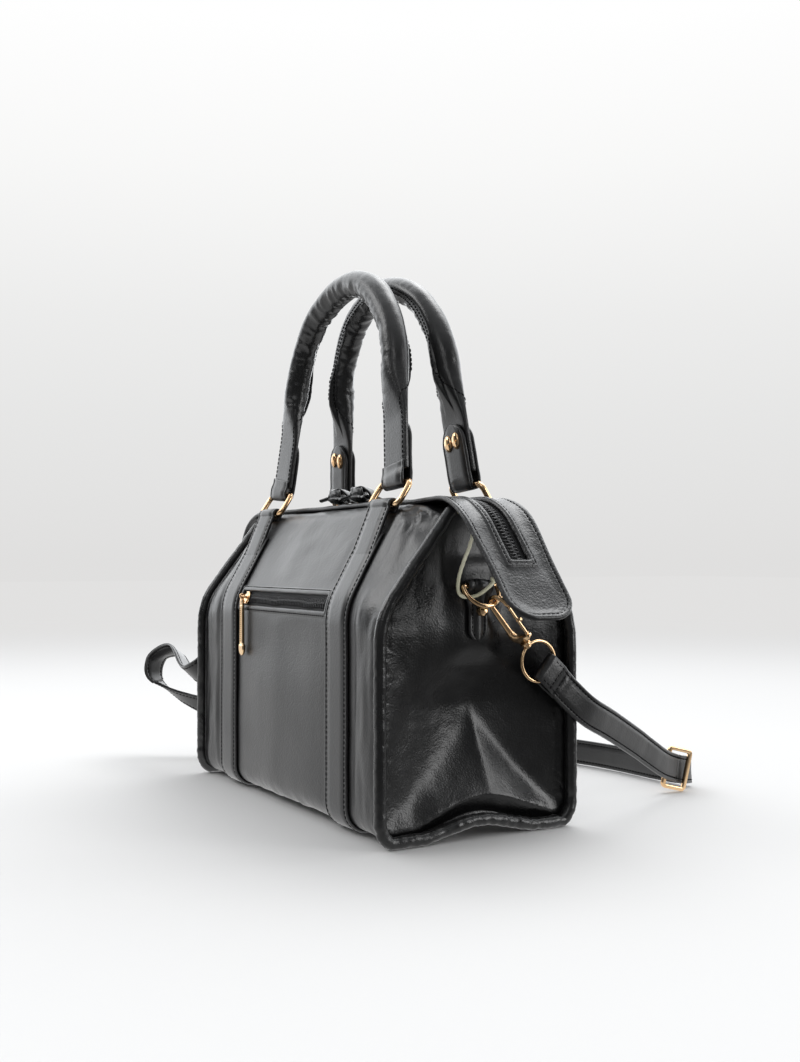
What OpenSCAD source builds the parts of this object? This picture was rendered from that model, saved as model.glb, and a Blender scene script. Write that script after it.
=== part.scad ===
// Top handle bag: soft structured body, two padded handles on oval rings, a long top zip
// whose panel ends stand out as tongues, a zipped front pocket and a clipped shoulder strap.
// Millimetres, Z up. Origin on the ground at the centre of the base, front towards -Y.

/* [Body] */
// Length between the outer faces of the two end panels
body_l = 286; // [240:1:340]
// Depth between the front and back leather
body_d = 138; // [125:1:170]
// Height of the top edge of the leather at the middle of the bag
body_h = 207; // [190:1:240]
// How much lower the top of each end panel is
end_drop = 3; // [0:0.5:10]
// Gap from the ground to the base leather
base_lift = 3; // [2:0.5:8]
// Thickness of the outer leather
leather_t = 2; // [1.6:0.1:3]
// Thickness of the lining
lining_t = 1; // [0.6:0.1:1.5]
// Thickness of the stiffening board inside the base
board_t = 2.5; // [1.5:0.1:4]
// Radius of the lower edges of the end outline
corner_r = 14; // [8:0.5:24]
// Radius of the shoulders where front and back turn inwards
shoulder_r = 45; // [38:0.5:50]
// Height of the shoulder centres at the middle of the bag
shoulder_h = 130; // [115:1:145]
// How much lower the shoulder centres are at the ends
shoulder_drop = 9; // [0:0.5:20]
// Radius of the crest beside the zip
crest_r = 18; // [16:0.5:24]
// Half distance between the crest centres at the middle
crest_half = 22; // [20:0.5:26]
// Half distance between the crest centres at the ends
crest_half_end = 8; // [4:0.5:14]
// Radius of the rolled piping round both ends
piping_r = 4; // [3:0.1:5]
// How far the piping centre stands outside the leather
piping_out = 1.5; // [0.5:0.1:2.5]

/* [Body straps] */
// Distance between the two straps that run round the body
strap_gap = 180; // [150:1:200]
// Width of each body strap
body_strap_w = 30; // [24:0.5:36]
// Thickness of a body strap, ring loop or handle tab
strap_t = 2.2; // [1.8:0.1:3]

/* [Rings] */
// Inner length of a handle ring
ring_inner_l = 34; // [32:0.5:40]
// Distance between the centres of the two long bars of a ring
ring_pitch = 18; // [16:0.5:24]
// Diameter of the ring wire
ring_wire = 4; // [3:0.1:5]
// Lean of the rings towards the zip
ring_lean = 33; // [25:1:40]
// Running gap between a bar and the leather round it
bar_fit = 0.1; // [0.05:0.01:0.1]

/* [Handles] */
// Height of the handle arch over the ring bars
handle_rise = 148; // [120:1:180]
// Radius of the top of the arch
arch_r = 77; // [70:0.5:82]
// Diameter of the padded grip
grip_d = 18.5; // [15:0.5:20]
// Width of the flat ends of the grip
grip_end_w = 28; // [24:0.5:32]
// Thickness of the flat ends of the grip
grip_end_t = 4.2; // [3.6:0.1:4.3]
// Lean of the handles towards each other
handle_lean = 4.5; // [3.5:0.1:6]
// Height of a handle tab over its ring bar
tab_h = 42; // [38:0.5:50]
// Diameter of the domed studs on the handle tabs
tab_stud_d = 8; // [6:0.5:9]

/* [Top zip] */
// Width of the zip panel
zip_panel_w = 52; // [48:0.5:54]
// Thickness of the zip panel
zip_panel_t = 3; // [2.4:0.1:4]
// Width of the slot along the zip panel
zip_slot_w = 12.5; // [11:0.5:14]
// Half length of the flat stretch of the zip panel
zip_flat = 135; // [120:1:140]
// Radius of the bend at each end of the flat stretch
bend_r = 45; // [35:0.5:60]
// Angle by which each tongue turns down
bend_angle = 50; // [35:1:60]
// Length of each tongue past the bend
tongue_l = 72; // [60:1:80]
// Radius of the tongue's corners
tongue_r = 18; // [8:0.5:20]
// Leather left between the slot and the tongue's tip
tongue_tip = 44; // [25:0.5:45]
// Distance from tooth to tooth
tooth_pitch = 2.6; // [2.4:0.1:3.2]
// Height of the teeth over the tape
tooth_h = 1.4; // [1:0.1:2]
// Distance between the two sliders parked at the middle
slider_gap = 34; // [30:1:50]

/* [Front pocket] */
// Leather left between the pocket opening and the strap on each side of it
pocket_margin = 5; // [3:0.5:20]
// Depth of the pocket bag
pocket_deep = 10; // [8:0.5:14]
// Lowest level of the pocket bag
pocket_floor = 45; // [35:1:70]
// Length of the pull on the pocket slider
pull_l = 42; // [30:0.5:50]

/* [Shoulder strap] */
// Height of the bar that holds each end ring
side_bar_z = 155; // [130:1:165]
// Width of the shoulder strap
sling_w = 20; // [18:0.5:22]
// Thickness of the shoulder strap
sling_t = 2.4; // [2:0.1:3]
// Wire diameter of the end rings
d_wire = 2.8; // [2.4:0.1:3.2]
// Inner width of the end rings
d_inner = 22; // [20:0.5:26]
// Inner radius of the ring eye on each clasp
eye_r = 11.5; // [11:0.1:13]
// Distance from the hook's bow to the swivel
clasp_l = 33; // [31:0.5:40]
// Direction of the clasp, measured from straight down
clasp_turn = 40; // [25:1:45]

/* [Hidden] */

$fn = 32;

leather = "#1d1d1f";
leather_dark = "#121214";
lining_colour = "#2b2a2a";
gold = "#d9b27c";
cream = "#cdc4a4";

// Overrun of every cut
cut = 1;
// Least gap between pieces that move past each other
gap = 0.3;

half_l = body_l / 2;
half_d = body_d / 2;
// Half length over which the outline keeps its middle shape
steady_half = strap_gap / 2 + body_strap_w / 2 + cut;
strap_x = strap_gap / 2;
pocket_l = strap_gap - body_strap_w - 2 * pocket_margin;

function unit(v) = v / norm(v);
function mix(a, b, share) = a + (b - a) * share;
function smooth(share) = share * share * (3 - 2 * share);
function flip(points) = [for (i = [len(points) - 1:-1:0]) points[i]];
function mirrored(points) = [for (p = points) [-p[0], p[1]]];

// Points on an arc, from angle a to angle b
function arc(centre, r, a, b, steps) = [
    for (i = [0:steps]) let (t = mix(a, b, i / steps)) centre + r * [cos(t), sin(t)]
];

// Body outline, seen along X: [y, z] points of one half, from the base centre to the crest.
// The blend is 1 over the middle and falls to 0 at the ends.
function blend_at(x) = abs(x) <= steady_half ? 1
    : 1 - smooth(min(1, (abs(x) - steady_half) / (half_l - steady_half)));
function shoulder(blend) = [half_d - shoulder_r, shoulder_h - shoulder_drop * (1 - blend)];
function crest(blend) = [mix(crest_half_end, crest_half, blend), body_h - crest_r - end_drop * (1 - blend)];
function slope_angle(blend) =
    let (d = crest(blend) - shoulder(blend))
    atan2(-d[0], d[1]) + asin((shoulder_r - crest_r) / norm(d));
function base_half() = half_d - corner_r;
function corner_arc(off) = arc([base_half(), base_lift + corner_r], corner_r + off, -90, 0, 5);
function shoulder_arc(blend, off, a, b, steps = 6) = arc(shoulder(blend), shoulder_r + off, a, b, steps);
function crest_arc(blend, off, a, b, steps = 6) = arc(crest(blend), crest_r + off, a, b, steps);
function side_points(blend, off) = let (s = slope_angle(blend)) concat(
    corner_arc(off),
    shoulder_arc(blend, off, 0, s),
    crest_arc(blend, off, s, 90)
);
function half_outline(blend, off, ledge) =
    concat(side_points(blend, off), [[ledge, crest(blend)[1] + crest_r + off]]);
function full_outline(blend, off) =
    concat(side_points(blend, off), mirrored(flip(side_points(blend, off))));

// Extrudes a drawing in the YZ plane along X
module along_x(length) {
    rotate([90, 0, 90]) linear_extrude(length, center = true) children();
}

// Closed slab between two grids of points with equal rows
module slab(outer, inner) {
    rows = len(outer);
    cols = len(outer[0]);
    count = rows * cols;
    function at(i, j) = i * cols + j;
    points = concat([for (row = outer) for (p = row) p], [for (row = inner) for (p = row) p]);
    top = [for (i = [0:rows - 2]) for (j = [0:cols - 2]) each [
        [at(i, j), at(i + 1, j), at(i + 1, j + 1)], [at(i, j), at(i + 1, j + 1), at(i, j + 1)]]];
    bottom = [for (f = top) [f[2] + count, f[1] + count, f[0] + count]];
    rim = concat(
        [for (i = [0:rows - 1]) at(i, 0)],
        [for (j = [1:cols - 1]) at(rows - 1, j)],
        [for (i = [rows - 2:-1:0]) at(i, cols - 1)],
        [for (j = [cols - 2:-1:1]) at(0, j)]
    );
    side = [for (k = [0:len(rim) - 1]) let (a = rim[k], b = rim[(k + 1) % len(rim)]) each [
        [b, a, a + count], [b, a + count, b + count]]];
    polyhedron(points, concat(top, bottom, side));
}

// Closed tube through rings of points
module skin(rings) {
    n = len(rings[0]);
    last = len(rings) - 1;
    points = [for (ring = rings) for (p = ring) p];
    walls = [for (i = [0:last - 1]) for (j = [0:n - 1]) let (k = (j + 1) % n) each [
        [i * n + j, i * n + k, (i + 1) * n + k], [i * n + j, (i + 1) * n + k, (i + 1) * n + j]]];
    polyhedron(points, concat(walls, [[for (j = [n - 1:-1:0]) j], [for (j = [0:n - 1]) last * n + j]]));
}

// Stations along the bag: the ends follow the blend, the middle is straight
end_steps = 4;
stations = concat(
    [for (i = [0:end_steps]) mix(-half_l + leather_t, -steady_half, i / end_steps)],
    [for (i = [0:end_steps]) mix(steady_half, half_l - leather_t, i / end_steps)]
);

// Half breadth of the open ledge under the zip panel
ledge_half = zip_slot_w / 2 + gap + leather_t + 1.5 * zip_panel_t / 2;

function wall_grid(off) = [
    for (x = stations) let (b = blend_at(x))
    [for (p = half_outline(b, off, min(crest(b)[0], ledge_half))) [x, p[0], p[1]]]
];

module side_wall(out, in) {
    slab(wall_grid(out), wall_grid(in));
}

// Slot of the pocket, a sector about the shoulder centre
pocket_mid_angle = 16.5;
pocket_slot_angle = 6.8;
pocket_lip_angle = 12.6;
pocket_teeth_r = shoulder_r - leather_t / 2 + lining_t / 2;

module pocket_sector(half_angle, r_in, r_out) {
    centre = shoulder(1);
    polygon(mirrored(concat(
        arc(centre, r_out, pocket_mid_angle - half_angle, pocket_mid_angle + half_angle, 4),
        arc(centre, r_in, pocket_mid_angle + half_angle, pocket_mid_angle - half_angle, 4)
    )));
}

module pocket_slot() {
    along_x(pocket_l) pocket_sector(pocket_slot_angle, shoulder_r - corner_r, shoulder_r + corner_r);
}

module front_panel() color(leather) difference() {
    mirror([0, 1, 0]) side_wall(0, -leather_t);
    pocket_slot();
}

module back_panel() color(leather) side_wall(0, -leather_t);

// Depth to which the body straps press into the base leather
strap_seat = 0.2;

module base_panel() color(leather) difference() {
    translate([-half_l + leather_t, -base_half(), base_lift])
        cube([body_l - 2 * leather_t, 2 * base_half(), leather_t]);
    for (side = [-1, 1])
        translate([side * strap_x, 0, base_lift])
            cube([body_strap_w + 2 * gap, body_d, 2 * strap_seat], center = true);
}

module base_board() color(lining_colour)
    translate([-half_l + 2 * leather_t + lining_t, -base_half(), base_lift + leather_t + lining_t])
        cube([body_l - 4 * leather_t - 2 * lining_t, 2 * base_half(), board_t]);

// Lining: a thin skin inside the leather, cut where the pocket bag hangs
module lining() color(lining_colour) difference() {
    union() {
        side_wall(-leather_t, -leather_t - lining_t);
        mirror([0, 1, 0]) side_wall(-leather_t, -leather_t - lining_t);
        translate([-half_l + leather_t, -base_half(), base_lift + leather_t])
            cube([body_l - 2 * leather_t, 2 * base_half(), lining_t]);
        for (side = [-1, 1])
            translate([side * (half_l - leather_t - lining_t / 2), 0, 0])
                along_x(lining_t) polygon(full_outline(0, -leather_t));
    }
    pocket_slot();
}

module end_panel() color(leather)
    translate([half_l - leather_t / 2, 0, 0]) along_x(leather_t) polygon(full_outline(0, 0));

module end_panel_right() end_panel();
module end_panel_left() mirror([1, 0, 0]) end_panel();

// Rolled piping: it follows the end outline from under one edge of the zip panel, round the
// base, to the other edge, and flattens towards the ground
piping_sides = 8;
// Points of the crest that the zip panel covers
piping_hidden = 5;

function outline_normals(points) =
    let (n = len(points))
    [for (i = [0:n - 1]) let (d = unit(points[(i + 1) % n] - points[(i - 1 + n) % n])) [d[1], -d[0]]];
function piping_rings() =
    let (
        outline = full_outline(0, 0),
        half = len(outline) / 2,
        kept = half - piping_hidden,
        turn = [for (i = [-kept:kept - 1]) (i + 2 * half) % (2 * half)],
        path = [for (i = turn) outline[i]],
        normals = [for (i = turn) outline_normals(outline)[i]]
    )
    [for (i = [0:len(path) - 1])
        let (
            n = normals[i],
            room = n[1] < -0.01 ? (path[i][1] - piping_r) / -n[1] : piping_out,
            centre = path[i] + n * min(piping_out, room)
        )
        [for (j = [0:piping_sides - 1]) let (
            t = 360 * (j + 0.5) / piping_sides,
            r = piping_r / cos(180 / piping_sides),
            q = centre + n * r * cos(t)
        ) [half_l + gap / 2 + piping_r + r * sin(t), q[0], q[1]]]];

module piping() color(leather_dark) skin(piping_rings());

module piping_right() piping();
module piping_left() mirror([1, 0, 0]) piping();

// Zip panel: flat along the middle, bent down at both ends
slot_half = zip_slot_w / 2;
panel_half = zip_panel_w / 2;

// Places children drawn on the tongue: X runs down it, Z is its thickness
module on_tongue() {
    translate([zip_flat + bend_r * sin(bend_angle), 0, body_h - bend_r * (1 - cos(bend_angle))])
        rotate([0, bend_angle, 0]) children();
}

// Side view of the panel from end to end, at height t over its underside, as [x, z]
bend_steps = 12;
function half_line(t, run) =
    let (
        bend = arc([zip_flat, body_h - bend_r], bend_r + t, 90, 90 - bend_angle, bend_steps),
        end = bend[bend_steps] + run * [cos(bend_angle), -sin(bend_angle)]
    ) concat(bend, [end]);
function zip_line(t, run) = concat(mirrored(flip(half_line(t, run))), half_line(t, run));

// Strip between two breadths and two heights
module zip_strip(y0, y1, t0, t1, run) {
    translate([0, y1, 0]) rotate([90, 0, 0]) linear_extrude(y1 - y0)
        polygon(concat(zip_line(t1, run), flip(zip_line(t0, run))));
}

// What rounds a corner of the tongue, drawn from the centre of its arc. The facets touch the
// round from outside, so that the first and last leave the straight edges at an angle
corner_steps = 5;
module corner_waste(r) {
    reach = r / cos(45 / corner_steps);
    translate([0, 0, -cut]) linear_extrude(zip_panel_t + 2 * cut) polygon(concat(
        arc([0, 0], reach, 0, 90, corner_steps),
        [[0, reach + cut], [reach + cut, reach + cut], [reach + cut, 0]]
    ));
}

zip_run = tongue_l - tongue_tip;

module zip_panel() color(leather) difference() {
    zip_strip(-panel_half, panel_half, 0, zip_panel_t, tongue_l);
    zip_strip(-slot_half, slot_half, -cut, zip_panel_t + cut, zip_run);
    for (side = [0, 1]) for (edge = [0, 1]) mirror([side, 0, 0]) on_tongue() mirror([0, edge, 0])
        translate([tongue_l - tongue_r, panel_half - tongue_r, 0]) corner_waste(tongue_r);
}

// Zip sides: a tape with its row of teeth, which pass between the teeth of the other side
tape_t = 0.8;
tape_near = 1.6;
// Width of tape sewn under the panel
tape_sewn = 3.4;
tape_far = slot_half + tape_sewn;
tooth_w = tooth_pitch / 2 - gap / 2;
tooth_reach = 0.9;
tooth_foot = 3.2;
spine_w = 1;

tooth_sink = tape_t / 2;

// Row of teeth on a straight stretch, as one comb that starts at X = 0
module comb(count, shift) {
    translate([0, 0, -tooth_sink]) linear_extrude(tooth_h + tooth_sink) polygon(concat(
        [[0, tooth_foot], [0, tooth_foot - spine_w]],
        [for (i = [0:count - 1]) let (x = i * tooth_pitch + shift) each [
            [x, tooth_foot - spine_w], [x, -tooth_reach],
            [x + tooth_w, -tooth_reach], [x + tooth_w, tooth_foot - spine_w]]],
        [[count * tooth_pitch + shift, tooth_foot - spine_w], [count * tooth_pitch + shift, tooth_foot]]
    ));
}

module zip_side(shift) {
    flat_count = floor((2 * zip_flat - shift) / tooth_pitch);
    run_count = floor((zip_run - shift) / tooth_pitch);
    bend_step = tooth_pitch / bend_r * 180 / PI;
    bend_count = floor(bend_angle / bend_step);
    zip_strip(tape_near, tape_far, -tape_t, 0, zip_run);
    zip_strip(tooth_foot - spine_w, tooth_foot, -tooth_sink, tooth_h, zip_run);
    translate([-zip_flat, 0, body_h]) comb(flat_count, shift);
    for (side = [0, 1]) mirror([side, 0, 0]) {
        for (i = [1:bend_count - 1])
            translate([zip_flat, 0, body_h - bend_r])
                rotate([0, i * bend_step + shift / bend_r * 180 / PI, 0])
                    translate([-tooth_w / 2, -tooth_reach, bend_r - tooth_sink])
                        cube([tooth_w, tooth_reach + tooth_foot - spine_w / 2, tooth_h + tooth_sink]);
        on_tongue() comb(run_count, shift);
    }
}

module zip_side_rear() color(leather_dark) zip_side(tooth_pitch / 2);
module zip_side_front() color(leather_dark) mirror([0, 1, 0]) zip_side(0);

// Body straps: one band from the front ring loops round the base to the back
strap_top_share = 0.82;

function slope_point(off, share) =
    let (s = slope_angle(1), a = shoulder(1) + (shoulder_r + off) * [cos(s), sin(s)],
        b = crest(1) + (crest_r + off) * [cos(s), sin(s)]) mix(a, b, share);
function strap_path(off) = concat(
    [[0, base_lift - off]],
    corner_arc(off),
    shoulder_arc(1, off, 0, slope_angle(1)),
    [slope_point(off, strap_top_share)]
);

module body_strap() color(leather)
    along_x(body_strap_w) polygon(concat(
        strap_path(strap_t), flip(strap_path(0)),
        mirrored(strap_path(0)), mirrored(flip(strap_path(strap_t)))));

module strap_right() translate([strap_x, 0, 0]) body_strap();
module strap_left() translate([-strap_x, 0, 0]) body_strap();

// Ring loops: leather folded round the lower bar of each ring
ring_r = ring_wire / 2;
sleeve_in = ring_r + bar_fit;
sleeve_out = sleeve_in + strap_t;
loop_angle = 50;
// Room for the ring beside the leather on its bar
loop_room = 6;
loop_w = ring_inner_l - loop_room;
bar_at = crest(1) + (crest_r + sleeve_out + gap / 2) * [cos(loop_angle), sin(loop_angle)];

module sleeve(length) {
    rotate([0, 90, 0]) difference() {
        cylinder(h = length, r = sleeve_out, center = true);
        cylinder(h = length + 2 * cut, r = sleeve_in, center = true);
    }
}

module ring_loop() color(leather) {
    translate([0, bar_at[0], bar_at[1]]) sleeve(loop_w);
    along_x(loop_w) polygon(concat(
        [slope_point(0, strap_top_share)], crest_arc(1, 0, slope_angle(1), loop_angle),
        crest_arc(1, strap_t, loop_angle, slope_angle(1)), [slope_point(strap_t, strap_top_share)]));
}

module ring_loop_back_right() translate([strap_x, 0, 0]) ring_loop();
module ring_loop_back_left() translate([-strap_x, 0, 0]) ring_loop();
module ring_loop_front_right() translate([strap_x, 0, 0]) mirror([0, 1, 0]) ring_loop();
module ring_loop_front_left() translate([-strap_x, 0, 0]) mirror([0, 1, 0]) ring_loop();

// Handle ring: two long bars and rounded corners, drawn from its lower bar upwards
ring_bend_r = ring_wire + 0.5 * ring_r;
ring_half_l = ring_inner_l / 2 + ring_r;

module handle_ring() color(gold) {
    for (z = [0, ring_pitch])
        translate([0, 0, z]) rotate([0, 90, 0])
            cylinder(h = 2 * (ring_half_l - ring_bend_r), r = ring_r, center = true);
    for (x = [-ring_half_l, ring_half_l])
        translate([x, 0, ring_bend_r]) cylinder(h = ring_pitch - 2 * ring_bend_r, r = ring_r);
    for (right = [0, 1]) for (upper = [0, 1])
        translate([0, 0, ring_pitch / 2]) mirror([right, 0, 0]) mirror([0, 0, upper])
            translate([-ring_half_l + ring_bend_r, 0, -ring_pitch / 2 + ring_bend_r])
                rotate([90, 0, 0]) rotate([0, 0, 180]) rotate_extrude(angle = 90)
                    translate([ring_bend_r, 0]) circle(r = ring_r);
}

module place_ring() translate([strap_x, bar_at[0], bar_at[1]]) rotate([ring_lean, 0, 0]) children();

module ring_back_right() place_ring() handle_ring();
module ring_back_left() mirror([1, 0, 0]) place_ring() handle_ring();
module ring_front_right() mirror([0, 1, 0]) place_ring() handle_ring();
module ring_front_left() mirror([1, 0, 0]) mirror([0, 1, 0]) place_ring() handle_ring();

// Handles, drawn upright over the upper ring bars
handle_bar = bar_at + ring_pitch * [-sin(ring_lean), cos(ring_lean)];
arch_centre_z = handle_rise - arch_r;
// Splay of the legs, so that a straight leg meets the arch from its ring
leg_far = [strap_x, -arch_centre_z];
leg_splay = atan2(leg_far[0], -leg_far[1]) + acos(arch_r / norm(leg_far)) - 90;
leg_turn = 180 - leg_splay;
leg_top = [arch_r * cos(leg_splay), arch_centre_z + arch_r * sin(leg_splay)];

module place_handle() translate([0, handle_bar[0], handle_bar[1]]) rotate([handle_lean, 0, 0]) children();

// Grip: stations along the arch as [x, z, angle, share of roundness]
grip_start = sleeve_out + gap + grip_end_w / 2 * sin(leg_splay);
grip_flat_end = tab_h + 2 * gap;
grip_round_from = grip_flat_end + 1.6 * grip_d;
arch_steps = 18;

function leg_station(run, round_share) =
    [strap_x - run * sin(leg_splay), run * cos(leg_splay), leg_splay, round_share];
function leg_length() = norm(leg_top - [strap_x, 0]);
function right_leg() = concat(
    [leg_station(grip_start, 0), leg_station(grip_flat_end, 0)],
    [for (i = [1:4]) leg_station(mix(grip_flat_end, grip_round_from, i / 4), smooth(i / 4))]);
function arch_stations() = [for (i = [0:arch_steps]) let (t = mix(leg_splay, leg_turn, i / arch_steps))
    [arch_r * cos(t), arch_centre_z + arch_r * sin(t), t, 1]];
function left_of(stations) = [for (s = flip(stations)) [-s[0], s[1], 180 - s[2], s[3]]];
grip_corners = 16;

// Section of the grip: a rounded strip at share 0, round at share 1
function grip_ring(s) =
    let (
        w = mix(grip_end_w, grip_d, s[3]) / 2,
        h = mix(grip_end_t, grip_d, s[3]) / 2,
        power = mix(0.35, 1, s[3])
    )
    [for (j = [0:grip_corners - 1]) let (
        t = 360 * (j + 0.5) / grip_corners, c = cos(t), d = sin(t),
        u = w * sign(c) * pow(abs(c), power), v = h * sign(d) * pow(abs(d), power))
        [s[0] + u * cos(s[2]), v, s[1] + u * sin(s[2])]];

module grip() color(leather)
    skin([for (s = concat(right_leg(), arch_stations(), left_of(right_leg()))) grip_ring(s)]);

module grip_back() place_handle() grip();
module grip_front() mirror([0, 1, 0]) place_handle() grip();

// Handle tab: folded round the upper bar, with a round end on the studded side
tab_w = loop_w;
leaf_in = sleeve_in + gap;
inner_side = -1;
seam_h = 12;

module tab_leaf(height, side) {
    rotate([90, 0, 0]) translate([0, 0, side > 0 ? -leaf_in - strap_t : leaf_in])
        linear_extrude(strap_t) polygon(concat(
            [[-tab_w / 2, 0], [tab_w / 2, 0]],
            height > tab_w / 2 ? arc([0, height - tab_w / 2], tab_w / 2, 0, 180, 12)
                : [[tab_w / 2, height], [-tab_w / 2, height]]));
}

// The outer leaf ends in a seam on the front handle and in a round end on the back one
module handle_tab(outer_h) color(leather) {
    sleeve(tab_w);
    rotate([0, -leg_splay, 0]) {
        tab_leaf(tab_h, inner_side);
        tab_leaf(outer_h, -inner_side);
    }
}

module tab_back_right() place_handle() translate([strap_x, 0, 0]) handle_tab(tab_h);
module tab_back_left() mirror([1, 0, 0]) tab_back_right();
module tab_front_right() mirror([0, 1, 0]) place_handle() translate([strap_x, 0, 0]) handle_tab(seam_h);
module tab_front_left() mirror([1, 0, 0]) tab_front_right();

// Domed studs, two on the inner leaf of each tab
stud_h = tab_stud_d * 0.3;
stud_at = tab_h - tab_stud_d - strap_t * 2;

module dome(d, h) {
    r = (d * d / 4 + h * h) / (2 * h);
    rotate_extrude() intersection() {
        translate([0, h - r]) circle(r = r, $fn = 64);
        square([d / 2, h]);
    }
}

module tab_studs() color(gold)
    for (side = [-1, 1]) rotate([0, -leg_splay, 0])
        translate([side * 0.6 * tab_stud_d, inner_side * (leaf_in + strap_t), stud_at])
            rotate([90, 0, 0]) dome(tab_stud_d, stud_h);

module studs_back() place_handle() {
    translate([strap_x, 0, 0]) tab_studs();
    mirror([1, 0, 0]) translate([strap_x, 0, 0]) tab_studs();
}
module studs_front() mirror([0, 1, 0]) studs_back();

// Side tab: a stitched tongue on the end panel, folded round the bar of the end ring
d_r = d_wire / 2;
d_sleeve_in = d_r + bar_fit;
d_sleeve_out = d_sleeve_in + strap_t;
side_tab_w = 14;
side_tab_l = 34;
side_tab_t = 3;
side_tab_top = side_tab_l + d_sleeve_out;
side_loop_w = d_inner - d_wire - 2 * gap;
side_bar_x = half_l + d_sleeve_out;
side_stud_d = 8;

module side_tab() color(leather) difference() {
    union() {
        translate([half_l, 0, side_bar_z - side_tab_l]) rotate([90, 0, 90]) linear_extrude(side_tab_t)
            polygon(concat(
                arc([0, side_tab_w / 2], side_tab_w / 2, 180, 360, 10),
                [[side_tab_w / 2, side_tab_top], [-side_tab_w / 2, side_tab_top]]));
        translate([side_bar_x, 0, side_bar_z]) rotate([90, 0, 0])
            cylinder(h = side_loop_w, r = d_sleeve_out, center = true);
        translate([half_l, -side_loop_w / 2, side_bar_z - d_sleeve_out])
            cube([strap_t, side_loop_w, 2 * d_sleeve_out]);
    }
    translate([side_bar_x, 0, side_bar_z]) rotate([90, 0, 0])
        cylinder(h = side_loop_w + 2 * cut, r = d_sleeve_in, center = true);
}

module side_tab_right() side_tab();
module side_tab_left() rotate([0, 0, 180]) side_tab();

// Ball stud with a faceted cone base
side_stud_z = side_bar_z - side_tab_l * 0.46;

module side_stud() color(gold)
    translate([half_l + side_tab_t, 0, side_stud_z]) rotate([0, 90, 0]) rotate_extrude() polygon(concat(
        [[0, 0], [side_stud_d * 0.3, 0], [side_stud_d * 0.2, side_stud_d * 0.12]],
        arc([0, side_stud_d * 0.5], side_stud_d * 0.44, -62, 90, 10)));

module side_stud_right() side_stud();
module side_stud_left() rotate([0, 0, 180]) side_stud();

// End ring: a straight bar in the side tab and a round bow
d_half = d_inner / 2 + d_r;
d_drop = d_wire;

module d_ring() color(gold) {
    rotate([90, 0, 0]) cylinder(h = 2 * d_half, r = d_r, center = true);
    for (side = [-1, 1]) translate([0, side * d_half, -d_drop]) cylinder(h = d_drop, r = d_r);
    for (side = [-1, 1]) translate([0, side * d_half, 0]) sphere(r = d_r);
    translate([0, 0, -d_drop]) rotate([0, 90, 0]) rotate([0, 0, -90]) rotate_extrude(angle = 180)
        translate([d_half, 0]) circle(r = d_r);
}

// The ring leans out over the ball stud
d_lean = 35;

module place_d() translate([side_bar_x, 0, side_bar_z]) rotate([0, -d_lean, 0]) children();

module d_ring_right() place_d() d_ring();
module d_ring_left() rotate([0, 0, 180]) d_ring_right();

// Clasp, drawn with its bow at the origin and its swivel up the Z axis.
// It hangs from the bow of the end ring at the angle of its turn.
clasp_roll = 20;
hook_wire = 3.4;
hook_r = hook_wire / 2;
// Room between the ring's wire and the hook's bow
bow_room = 2.6;
bow_r = d_r + hook_r + bow_room;
swivel_r = 2.4;
collar_wall = 1;
collar_h = 2;
neck_l = 7;
swivel_at = clasp_l - neck_l;
eye_wire = 2.4;
eye_at = clasp_l + swivel_r + eye_r;

clasp_drop = d_drop + d_half * cos(clasp_turn);
clasp_way = [0, sin(clasp_turn), -cos(clasp_turn)];
clasp_origin = [side_bar_x, d_half * sin(clasp_turn), side_bar_z]
    + clasp_drop * [sin(d_lean), 0, -cos(d_lean)] + (bow_room - gap) * clasp_way;

module place_clasp() translate(clasp_origin) rotate([clasp_turn - 180, 0, 0]) children();

// Hook: a bow, one thick leg that widens to the swivel body, a short lip on the other side
lip_l = bow_r * 0.5;
gate_from = lip_l + gap;

module clasp_hook() color(gold) {
    rotate([90, 0, 0]) rotate([0, 0, 180]) rotate_extrude(angle = 180)
        translate([bow_r, 0]) circle(r = hook_r);
    translate([bow_r, 0, 0]) cylinder(h = swivel_at, r = hook_r);
    translate([-bow_r, 0, 0]) cylinder(h = lip_l, r = hook_r);
    translate([0, 0, swivel_at]) rotate([90, 0, 0]) linear_extrude(2 * hook_r, center = true)
        polygon([[bow_r + hook_r, -3 * hook_r], [bow_r + hook_r, 0], [hook_r, 3 * hook_r],
            [-hook_r, 3 * hook_r], [-bow_r - hook_r, hook_r], [-bow_r - hook_r, 0], [bow_r - hook_r, 0],
            [bow_r - hook_r, -3 * hook_r]]);
    translate([0, 0, swivel_at + 3 * hook_r - gap]) difference() {
        cylinder(h = neck_l - 3 * hook_r, r = swivel_r + collar_wall);
        translate([0, 0, -cut]) cylinder(h = clasp_l, r = swivel_r / 2 + bar_fit);
    }
}

// Gate: a thin sprung lever that closes the hook, with a thumb pin
gate_r = hook_r * 0.6;
gate_to = swivel_at - gate_r - gap;

module clasp_gate() color(gold) {
    translate([-bow_r, 0, gate_from]) cylinder(h = gate_to - gate_from, r = gate_r);
    translate([-bow_r, 0, gate_to]) rotate([90, 0, 0]) cylinder(h = 2 * hook_r, r = gate_r, center = true);
    translate([-bow_r, 0, (gate_from + gate_to) / 2]) rotate([0, -90, 0])
        cylinder(h = gate_r * 3, r = gate_r * 0.8);
}

// Eye: a stem in the swivel and the ring that holds the strap
module clasp_eye() color(gold) {
    translate([0, 0, swivel_at + 3 * hook_r])
        cylinder(h = neck_l - 3 * hook_r + collar_h, r = swivel_r / 2);
    translate([0, 0, clasp_l + gap / 2]) cylinder(h = collar_h, r = swivel_r);
    translate([0, 0, eye_at]) rotate([90, 0, 0]) rotate_extrude() translate([eye_r + eye_wire / 2, 0])
        circle(r = eye_wire / 2);
}

module turn_hook() place_clasp() rotate([0, 0, 180 - clasp_roll]) children();

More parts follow.
